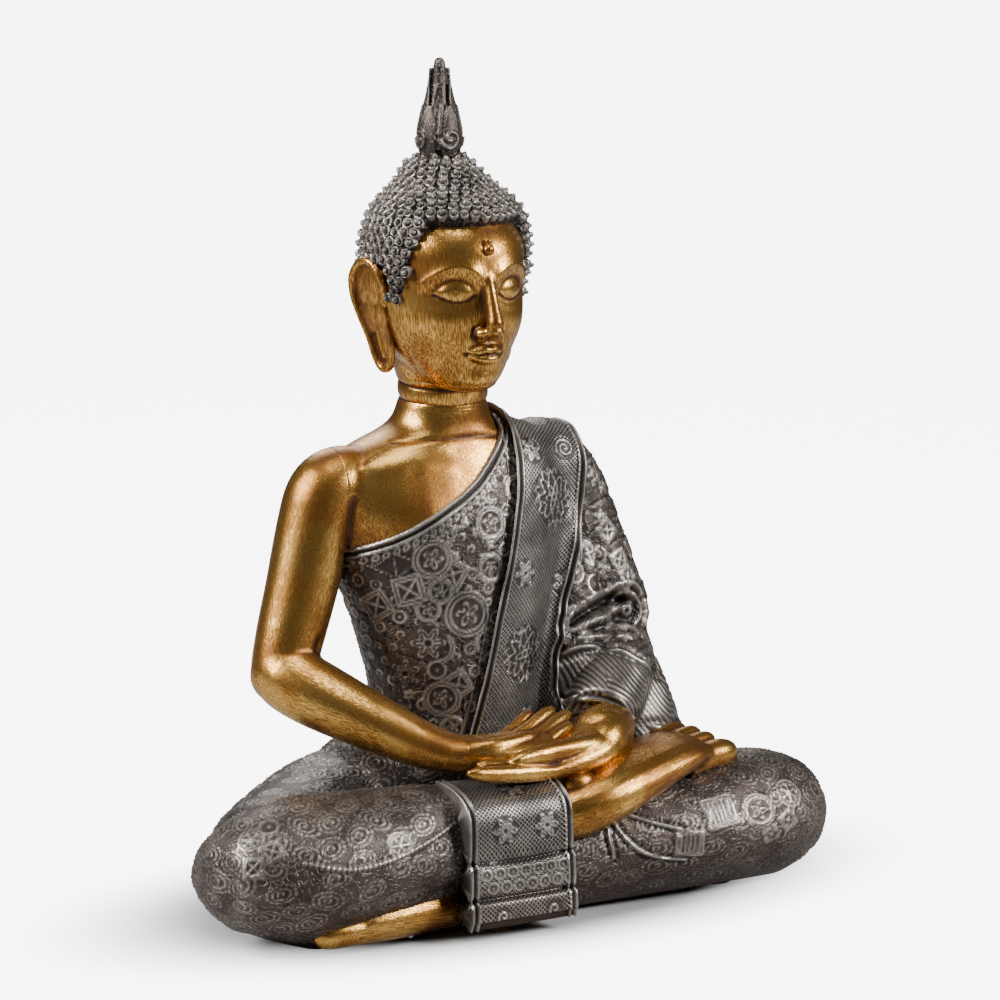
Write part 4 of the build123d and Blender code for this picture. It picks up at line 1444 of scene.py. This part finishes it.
def swell(points, centre, reach, power=1.0):
    """1 at a spot on the face, fading out over reach across and reach up."""
    spread = ((points[:, 0] - centre[0]) / reach[0]) ** 2 + ((points[:, 2] - centre[1]) / reach[1]) ** 2
    return np.exp(-(spread**power)) * (points[:, 1] < 14)


def face_line(points, rows, width, front_of):
    """1 on a fine line drawn on the face, seen from in front, where y is less than front_of."""
    distance, _ = nearest_on_path(points[:, [0, 2]], smooth_rows(rows, 4)[:, [0, 2]])
    return bump(distance, width) * (points[:, 1] < front_of)


def head_mesh():
    """The face and neck in one skin, with the eyes, brows and lips drawn on it."""
    bm = bmesh.new()
    limb(bm, SKULL, level=True, sides=64, steps=6)
    limb(bm, NECK, level=True, sides=48)
    skull = one_skin(bm, SKULL_CELL, 8)
    points = read_points(skull)
    height = np.zeros(len(points))
    for side in (-1, 1):
        height -= 2.7 * swell(points, (side * EYE_X, EYE_Z + 0.5), (10.5, 6.6), 1.3)
        height += 1.2 * swell(points, (side * 20, 279), (9, 9))
        height -= 1.0 * swell(points, (side * 25, 263), (8, 9))
        height -= 1.0 * swell(points, (side * 33, 302), (6, 9))
    height += 1.8 * swell(points, (0, 266), (10.5, 8.5), 1.2)
    height += 2.2 * swell(points, (0, 252), (8.5, 5.5))
    height -= 0.8 * swell(points, (0, 257.6), (7, 2.4))
    for line in both_sides(BROW):
        distance, _ = nearest_on_path(points, smooth_rows(line, 4))
        height += 1.3 * bump(distance, 3.2)
    pushed(skull, height)
    bm = bmesh.new()
    bm.from_mesh(skull)
    bpy.data.meshes.remove(skull)
    limb(bm, NOSE, sides=20)
    ball(bm, (0, -21.4, 276.2), (4.2, 4.2, 3.5))
    limb(bm, UPPER_LIP, sides=16)
    limb(bm, LOWER_LIP, sides=16)
    for side in (-1, 1):
        ball(bm, (side * 4.5, -17.6, 275.0), (2.8, 3.8, 2.6), turn=(0, 0, side * -20))
    head = one_skin(bm, FACE_CELL, 6)
    points = read_points(head)
    height = np.zeros(len(points))
    edge_x, edge_z = [r[0] for r in LID_EDGE], [r[2] for r in LID_EDGE]
    lid_z = np.interp(np.abs(points[:, 0]), edge_x, edge_z)
    above = step(-0.4, 0.4, points[:, 2] - lid_z)
    for side in (-1, 1):
        height += 3.0 * swell(points, (side * EYE_X, EYE_Z + 0.6), (7.6, 5.0), 1.7) * above
        height += 2.1 * swell(points, (side * EYE_X, EYE_Z - 1.0), (7.8, 4.6), 1.5) * (1 - above)
    pushed(head, height)
    points = read_points(head)
    height = np.zeros(len(points))
    for rows, lift, width, front_of in (
        (LID_EDGE, -0.75, 0.75, 0), (LID_FOLD, -0.30, 1.2, 0), (BROW, 0.35, 0.9, 4)
    ):
        for line in both_sides(rows):
            height += lift * face_line(points, line, width, front_of)
    height -= 0.75 * face_line(points, MOUTH_LINE, 0.7, 0)
    for side in (-1, 1):
        nostril = np.linalg.norm(points - np.array([side * 2.3, -19.6, 272.6]), axis=1)
        height -= 1.1 * bump(nostril, 1.3)
        corner = np.linalg.norm(points - np.array([side * 10.0, -12.5, 265.1]), axis=1)
        height -= 0.8 * bump(corner, 1.7)
        wing = nearest_on_path(
            points, [(side * 7.4, -15.5, 277.4), (side * 8.0, -14.6, 274.4), (side * 6.2, -15.4, 272.4)]
        )[0]
        height -= 0.7 * bump(wing, 1.1)
    philtrum = nearest_on_path(points, [(0, -17.2, 272.4), (0, -17.6, 269.0)])[0]
    height -= 0.5 * bump(philtrum, 1.2)
    around_neck = points[:, 2] < 249
    for level in NECK_CREASES:
        gap = level + 0.10 * (points[:, 1] - 6) - points[:, 2]
        height -= 0.75 * bump(gap, 0.9) * around_neck
        height += 0.45 * bump(gap + 3.6, 2.6) * around_neck
    pushed(head, height)
    write_points(head, averaged(read_points(head), read_edges(head), 1, 0.35))
    note_hollows(head, 8, 0.35)
    return head


# ---- ears with long lobes
EAR_RIM = [
    (34.6, 20.5, 286, 1.2, 1.2), (36.2, 18.8, 292, 1.7, 1.7), (38.2, 19.8, 300, 1.9, 1.9),
    (40.0, 25.5, 306, 2.0, 2.0), (41.6, 33, 305, 2.1, 2.1), (42.4, 38.6, 298, 2.1, 2.1),
    (41.2, 39.4, 289, 2.0, 2.0), (38.8, 36.6, 279, 1.9, 1.9), (36.2, 33.4, 270, 1.9, 1.9),
    (34.2, 31.4, 261.5, 2.0, 2.0), (32.6, 27.5, 255.6, 2.1, 2.1), (31.6, 22.6, 256.4, 2.0, 2.0),
    (31.8, 19.8, 262.5, 1.8, 1.8), (32.8, 19.6, 271, 1.6, 1.6), (33.8, 20.6, 279, 1.4, 1.4)
]
EAR_FOLD = [
    (38.8, 25, 302, 0.9, 0.9), (40.0, 31, 300, 1.5, 1.5), (39.6, 34.2, 292, 1.6, 1.6),
    (37.6, 32.6, 284, 1.5, 1.5), (35.8, 29.0, 279, 1.5, 1.5), (34.8, 24.6, 278.2, 1.2, 1.2)
]
EAR_STEM = [
    (36.6, 27.6, 281, 1.5, 1.5), (34.8, 27.4, 274, 1.6, 1.6), (33.4, 26.2, 266, 1.5, 1.5),
    (32.6, 25.0, 260, 0.8, 0.8)
]


def ear_mesh(side):
    """One ear with its long lobe."""
    bm = bmesh.new()
    for rows in (EAR_RIM, EAR_FOLD, EAR_STEM):
        limb(bm, rows, sides=14, steps=4)
    ball(bm, (37.4, 29.4, 293), (3.0, 11.0, 13.6), turn=(0, 8, -12))
    ball(bm, (32.2, 26.2, 267), (2.0, 6.8, 13.5), turn=(0, 12, -10))
    ball(bm, (34.0, 24.5, 280), (3.0, 5.5, 12.0), turn=(0, 10, 0))
    ball(bm, (35.6, 20.6, 289.5), (1.8, 2.4, 3.2))
    ball(bm, (36.4, 30.5, 281), (2.4, 7.5, 10), turn=(0, 10, -10))
    if side < 0:
        bmesh.ops.scale(bm, vec=(-1, 1, 1), verts=bm.verts)
    ear = one_skin(bm, EAR_CELL, 3)
    note_hollows(ear, 8, 0.4)
    return ear


# ---- hair of small snail curls over a smooth cap
HAIRLINE_Z, TEMPLE_Y, SIDEBURN_Z, NAPE_Z = 327.0, -3.0, 289.0, 262.0
CURL_RADIUS, CURL_SPACING = 2.75, 5.15


HAIR_PATH = smooth_rows(HAIR, 8)


def hair_point(z, angle):
    """A spot on the cap, at a height and an angle round it."""
    rows = HAIR_PATH
    x, y, a, b = (np.interp(z, rows[:, 2], rows[:, k]) for k in (0, 1, 3, 4))
    return Vector((x + a * math.cos(angle), y + b * math.sin(angle), z))


EAR_CLEAR_X, EAR_CLEAR_Y, EAR_CLEAR_Z = 33, (17, 37), 306  # no curls where the ear stands
BEHIND_EARS_Y, NAPE_Y = 20, 42


def has_hair(point):
    """True behind the hairline and above the nape."""
    hairline = HAIRLINE_Z - 0.0009 * point[0] ** 2
    in_front = point[1] < TEMPLE_Y + (HAIRLINE_Z - point[2]) * 0.30
    if point[2] < hairline and in_front:
        return False
    if abs(point[0]) > EAR_CLEAR_X and EAR_CLEAR_Y[0] < point[1] < EAR_CLEAR_Y[1] and point[2] < EAR_CLEAR_Z:
        return False
    if point[1] < BEHIND_EARS_Y:
        return point[2] > SIDEBURN_Z
    edge = SIDEBURN_Z - (point[1] - BEHIND_EARS_Y) * (SIDEBURN_Z - NAPE_Z) / (NAPE_Y - BEHIND_EARS_Y)
    return point[2] > edge or point[1] > NAPE_Y and point[2] > NAPE_Z


def curl_mesh():
    """One snail curl, on the origin, with its tip along +Z."""
    bm = bmesh.new()
    rings = [(1.0, -0.6), (1.02, 0.40), (0.86, 0.85), (0.68, 0.42), (0.52, 0.95), (0.30, 1.40), (0.0, 1.50)]
    sides = 9
    verts = bmesh.ops.create_grid(bm, x_segments=len(rings) - 1, y_segments=sides, size=0.5)["verts"]
    for vert in verts:
        row = round((vert.co.x + 0.5) * (len(rings) - 1))
        turn = vert.co.y + 0.5
        radius, height = rings[row]
        wind = 0.14 * (turn - 0.5) if 0 < row < len(rings) - 1 else 0.0
        radius = max(radius - wind, 0.0)
        angle = turn * math.tau
        vert.co = (radius * math.cos(angle), radius * math.sin(angle), height + wind)
    bmesh.ops.remove_doubles(bm, verts=bm.verts, dist=0.03)
    bmesh.ops.recalc_face_normals(bm, faces=bm.faces)
    return as_mesh(bm)


def curls_mesh():
    curl = curl_mesh()
    bm = bmesh.new()
    rows = HAIR_PATH
    walked = 0.0
    row_number = 0
    for z in np.arange(NAPE_Z, 352.5, 0.25):
        here, above = hair_point(z, 0.0), hair_point(z + 0.25, 0.0)
        walked += (above - here).length
        if walked < CURL_SPACING * 0.84:
            continue
        walked = 0.0
        row_number += 1
        a, b = (np.interp(z, rows[:, 2], rows[:, k]) for k in (3, 4))
        girth = math.pi * (3 * (a + b) - math.sqrt((3 * a + b) * (a + 3 * b)))
        count = max(int(girth / CURL_SPACING), 5)
        for k in range(count):
            angle = math.tau * (k + 0.5 * (row_number % 2)) / count - math.pi / 2
            spot = hair_point(z, angle)
            if not has_hair(spot):
                continue
            along = hair_point(z, angle + 0.02) - spot
            rising = hair_point(z + 0.3, angle) - spot
            outward = along.cross(rising).normalized()
            size = CURL_RADIUS * random.uniform(0.84, 1.06)
            spot = spot + along.normalized() * random.uniform(-0.5, 0.5)
            spot = spot + rising.normalized() * random.uniform(-0.45, 0.45)
            turn = Matrix.Rotation(random.uniform(0, math.tau), 4, "Z")
            place = Matrix.Translation(
                spot - outward * 0.4
            ) @ outward.to_track_quat("Z", "Y").to_matrix().to_4x4() @ turn
            start = len(bm.verts)
            bm.from_mesh(curl)
            bm.verts.ensure_lookup_table()
            fresh = bm.verts[start:]
            bmesh.ops.transform(bm, matrix=place @ Matrix.Diagonal((size, size, size * 1.12, 1.0)), verts=fresh)
    mesh = as_mesh(bm)
    bpy.data.meshes.remove(curl)
    note_hollows(mesh, 2, 0.35)
    return mesh


def hair_cap_mesh():
    bm = bmesh.new()
    limb(bm, HAIR, level=True, sides=64, steps=6)
    cap = one_skin(bm, HAIR_CELL, 2)
    points = read_points(cap)
    bare = np.array([not has_hair(point) for point in points])
    inward = np.where(bare, -6.0, 0.0)
    pushed(cap, averaged(inward, read_edges(cap), 2))
    # painted shade: the whole cap is marked as a deep hollow, so its paint goes near black, standing in for the shade
    # under and between the curls
    note(cap, "hollow", np.full(len(points), 1.0))
    return cap


# ---- flame on the crown
FLAME_CORE = [
    (0, 30, 350, 7, 7), (0, 30, 353, 7.6, 7.6), (0, 30, 357, 8.6, 8.6), (0, 30, 363, 9.2, 9.2),
    (0, 30, 370, 8.0, 8.0), (0, 30, 378, 5.6, 5.6), (0, 30, 386, 3.7, 3.7), (0, 30, 391, 3.2, 3.2),
    (0, 30, 396, 2.9, 2.9), (0, 30, 398.6, 2.2, 2.2), (0, 30, 399.8, 0.8, 0.8)
]


def flame_mesh():
    """The flame on top of the head."""
    bm = bmesh.new()
    limb(bm, FLAME_CORE, level=True, sides=40)
    core = np.array(FLAME_CORE)

    def on_flame(angle, z, stand):
        radius = np.interp(z, core[:, 2], core[:, 3]) + stand
        return (radius * math.cos(angle), 30 + radius * math.sin(angle), z)

    def petal(angle, base, tip, width, stand):
        """A pointed leaf with a raised rim on both edges."""
        facing = (math.cos(angle), math.sin(angle), 0)
        spans = [0.0, 0.15, 0.35, 0.55, 0.75, 0.9, 1.0]
        shares = [0.55, 0.85, 1.0, 0.92, 0.62, 0.30, 0.06]
        levels = [base + (tip - base) * span for span in spans]
        stands = [stand * (0.4 + 1.1 * span * span) for span in spans]
        leaf = [(*on_flame(angle, z, out), width * share, 0.9) for z, out, share in zip(levels, stands, shares)]
        limb(bm, leaf, sides=14, steps=4, facing=facing)
        for side in (-1, 1):
            rim = []
            for z, out, share in zip(levels, stands, shares):
                radius = np.interp(z, core[:, 2], core[:, 3]) + 1.0
                rim.append((*on_flame(angle + side * width * share / radius, z, out + 0.35), 0.75, 0.75))
            limb(bm, rim, sides=8, steps=4, facing=facing)

    for k in range(5):
        petal(math.tau * k / 5 - 2.75, 353, 377.5, 4.4, 1.3)
        petal(math.tau * (k + 0.5) / 5 - 2.75, 357, 388, 3.6, 0.9)
    for start in (-math.pi / 2, math.pi / 2, math.pi, 0.0):
        stem = [
            (
                *on_flame(start - 0.55 + 0.012 * (z - 364), z, 1.4), 0.9, 0.9
            ) for z in (395, 390, 384, 377, 370, 364)
        ]
        limb(bm, stem, sides=8, steps=4, facing=(math.cos(start), math.sin(start), 0))
        curl = []
        for i in range(15):
            turn = math.pi + i * 0.62
            reach = 5.4 - 0.34 * i
            swing = start + reach * math.cos(turn) / 10.5
            curl.append(
                (*on_flame(swing, 362.5 + reach * math.sin(turn), 1.7), 1.15 - 0.03 * i, 1.15 - 0.03 * i)
            )
        limb(bm, curl, sides=10, steps=3, facing=(math.cos(start), math.sin(start), 0))
    flame = one_skin(bm, FLAME_CELL, 2)
    note_hollows(flame, 8, 0.35)
    return flame


finish_piece(head_mesh(), "head_skin", FACE_GOLD, ["head_casting"])
for side, word in ((-1, "right"), (1, "left")):
    finish_piece(ear_mesh(side), f"{word}_ear_skin", FACE_GOLD, [f"{word}_ear"])
finish_piece(hair_cap_mesh(), "hair_base", HAIRPAINT, ["hair_cap"])
finish_piece(curls_mesh(), "hair_curls", HAIRPAINT, ["hair_cap"])
finish_piece(flame_mesh(), "flame_skin", HAIRPAINT, ["flame_finial"])

URNA_CENTRE = (0, -16.4, 313.5)
bm = bmesh.new()
ball(bm, URNA_CENTRE, (2.7, 2.3, 2.7))
ball(bm, (0, -16.0, 317.2), (1.9, 1.4, 2.0))
urna = one_skin(bm, MARK_CELL, 2)
note_hollows(urna, 4, 0.3)
finish_piece(urna, "forehead_mark", FACE_GOLD, ["urna"])


# ---- what the CAD gives as it is: the plate, bung, pads, dowels and pins
def stained_board():
    """Thin birch board under a brown water stain, which shows its grain as darker lines 2 to 4 mm apart."""
    material, shader = new_material("stained_birch_board")
    place = add_node(material, "ShaderNodeTexCoord").outputs["Object"]
    along = add_node(
        material, "ShaderNodeMapping", {"Vector": place, "Scale": (22.0, 330.0, 330.0)}
    ).outputs["Vector"]
    grain = add_node(
        material, "ShaderNodeTexNoise", {"Vector": along, "Scale": 1.0, "Detail": 5.0, "Distortion": 0.6}
    ).outputs["Fac"]
    pores = add_node(
        material, "ShaderNodeTexNoise", {"Vector": along, "Scale": 6.0, "Detail": 2.0}
    ).outputs["Fac"]
    tint = add_node(material, "ShaderNodeValToRGB", {"Fac": grain})
    set_ramp(tint, [(0.30, colour("#4A3220")), (0.50, colour("#6B4A2E")), (0.72, colour("#86623F"))])
    rough = add_node(
        material, "ShaderNodeMapRange", {"Value": pores, "To Min": 0.45, "To Max": 0.65}
    ).outputs["Result"]
    relief = add_node(
        material, "ShaderNodeBump", {"Height": pores, "Strength": 0.25, "Distance": 0.0004}
    ).outputs["Normal"]
    joined(material, shader, tint.outputs["Color"], rough, None, relief)
    return material


def grainy(name, low, high, grain_mm, roughness, depth_mm, metallic=0.0, stretch=(1.0, 1.0, 1.0)):
    """A plain stock material: two shades in a grain of the given size, with the same grain in its relief."""
    material, shader = new_material(name)
    shader.inputs["Metallic"].default_value = metallic
    place = add_node(material, "ShaderNodeTexCoord").outputs["Object"]
    drawn = add_node(material, "ShaderNodeMapping", {"Vector": place, "Scale": stretch}).outputs["Vector"]
    grain = add_node(
        material, "ShaderNodeTexNoise", {"Vector": drawn, "Scale": 1000.0 / grain_mm, "Detail": 3.0}
    ).outputs["Fac"]
    tint = add_node(material, "ShaderNodeValToRGB", {"Fac": grain})
    set_ramp(tint, [(0.32, colour(low)), (0.68, colour(high))])
    rough = add_node(
        material, "ShaderNodeMapRange", {"Value": grain, "To Min": roughness - 0.07, "To Max": roughness + 0.07}
    ).outputs["Result"]
    relief = add_node(
        material, "ShaderNodeBump", {"Height": grain, "Strength": 0.4, "Distance": depth_mm / 1000.0}
    ).outputs["Normal"]
    joined(material, shader, tint.outputs["Color"], rough, None, relief)
    return material


# Drawn steel shows fine lines along the bar, moulded rubber a soft dull grain, and pressed felt a woolly one.
STEEL = grainy("drawn_steel_bar", "#8D9094", "#B4B7BA", 0.5, 0.32, 0.02, 1.0, (1.0, 1.0, 0.1))
RUBBER = grainy("moulded_black_rubber", "#1B1B1C", "#29292A", 0.7, 0.72, 0.05)
FELT = grainy("pressed_grey_felt", "#3B3A38", "#5A5854", 0.9, 0.92, 0.3)
KEPT_NODES = {"base_plate": stained_board(), "rubber_bung": RUBBER, "felt_pads": FELT}
for name in (
    "neck_dowel", "waist_dowels", "shoulder_dowel", "sleeve_dowel", "right_wrist_pin", "left_wrist_pin",
    "foot_pins", "cloth_pins", "finial_pin",
):
    KEPT_NODES[name] = STEEL
for name, material in KEPT_NODES.items():
    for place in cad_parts[name].material_slots:
        place.material = material


# ---- camera, floor and light
PAINTED_FLOOR_GLOW = 7.0  # the floor is lit by the lamps, and also glows white to the camera only, more the further it is from the figure; the plain grey ellipse round the figure that does not glow is a painted shadow
# the size of the painted shadow: the ellipse round the figure where the floor does not glow
PAINTED_SHADOW_REACH_X, PAINTED_SHADOW_REACH_Y = 0.17, 0.09
ROOM_LIGHT = 0.05
TARGET = Vector((0.0, 0.0, 0.190))
AZIMUTH, ELEVATION, DISTANCE = math.radians(-30.0), math.radians(10.0), 1.8
PICTURE_WIDTH = 1000.0
FOCAL_LENGTH = 2.095 * 1800.0  # in picture widths of 1000: 2.095 for each mm, from 1800 mm
SENSOR = 36.0
back = Vector(
    (
        math.sin(AZIMUTH) * math.cos(ELEVATION),
        -math.cos(AZIMUTH) * math.cos(ELEVATION),
        math.sin(ELEVATION),
    )
)
lens = bpy.data.cameras.new("camera")
lens.sensor_width = SENSOR
lens.lens = FOCAL_LENGTH / PICTURE_WIDTH * SENSOR
lens.clip_end = 50.0
lens.shift_x = (500.0 - 477.0) / PICTURE_WIDTH
lens.shift_y = (502.0 - 500.0) / PICTURE_WIDTH
camera = bpy.data.objects.new("camera", lens)
camera.location = TARGET + back * DISTANCE
camera.rotation_euler = back.to_track_quat("Z", "Y").to_euler()
bpy.context.collection.objects.link(camera)
bpy.context.scene.camera = camera

floor_mesh = bpy.data.meshes.new("floor")
bm = bmesh.new()
bmesh.ops.create_circle(bm, cap_ends=True, segments=64, radius=12.0)
bm.to_mesh(floor_mesh)
bm.free()
floor = bpy.data.objects.new("floor", floor_mesh)
bpy.context.collection.objects.link(floor)
floor_paint = bpy.data.materials.new("grey_floor_painted_glow")
floor_paint.use_nodes = True
floor_shader = floor_paint.node_tree.nodes["Principled BSDF"]
floor_shader.inputs["Base Color"].default_value = colour("#A8A8A8")
floor_shader.inputs["Roughness"].default_value = 0.9
floor_shader.inputs["Specular IOR Level"].default_value = 0.1
floor_shader.inputs["Emission Color"].default_value = (1.0, 1.0, 1.0, 1.0)
floor_place = add_node(floor_paint, "ShaderNodeTexCoord").outputs["Object"]
floor_middle = add_node(
    floor_paint, "ShaderNodeMapping",
    {"Vector": floor_place, "Scale": (1.0 / PAINTED_SHADOW_REACH_X, 1.0 / PAINTED_SHADOW_REACH_Y, 1.0)}
)
floor_reach = add_node(
    floor_paint, "ShaderNodeVectorMath", {0: floor_middle.outputs["Vector"]}, operation="LENGTH"
).outputs["Value"]
painted_glow_rise = add_node(
    floor_paint,
    "ShaderNodeMapRange",
    {"Value": floor_reach, "From Min": 0.8, "From Max": 1.5, "To Min": 0.0, "To Max": PAINTED_FLOOR_GLOW},
    interpolation_type="SMOOTHSTEP",
).outputs["Result"]
# painted light: the floor glows to camera rays only, rising away from the figure, so the plain grey under the figure
# stands in for its shadow
seen = add_node(floor_paint, "ShaderNodeLightPath").outputs["Is Camera Ray"]
glow = add_node(floor_paint, "ShaderNodeMath", {0: painted_glow_rise, 1: seen}, operation="MULTIPLY").outputs[0]
floor_paint.node_tree.links.new(glow, floor_shader.inputs["Emission Strength"])
floor_mesh.materials.append(floor_paint)

world = bpy.data.worlds.new("studio")
world.use_nodes = True
bpy.context.scene.world = world
world.node_tree.nodes["Background"].inputs["Color"].default_value = (1.0, 1.0, 1.0, 1.0)
world.node_tree.nodes["Background"].inputs["Strength"].default_value = ROOM_LIGHT


def soft_light(name, azimuth, elevation, distance, size, watts):
    """A square softbox that faces the figure."""
    light = bpy.data.lights.new(name, "AREA")
    light.shape = "SQUARE"
    light.size = size
    light.energy = watts
    lamp = bpy.data.objects.new(name, light)
    turn, rise = math.radians(azimuth), math.radians(elevation)
    way = Vector((math.sin(turn) * math.cos(rise), -math.cos(turn) * math.cos(rise), math.sin(rise)))
    lamp.location = TARGET + way * distance
    lamp.rotation_euler = way.to_track_quat("Z", "Y").to_euler()
    bpy.context.collection.objects.link(lamp)


soft_light("left_softbox", -100, 34, 1.25, 0.40, 30)
soft_light("right_softbox", 44, 26, 1.25, 0.40, 25)
soft_light("top_softbox", -30, 76, 1.4, 0.5, 9)
soft_light("back_softbox", 160, 35, 1.6, 0.8, 12)
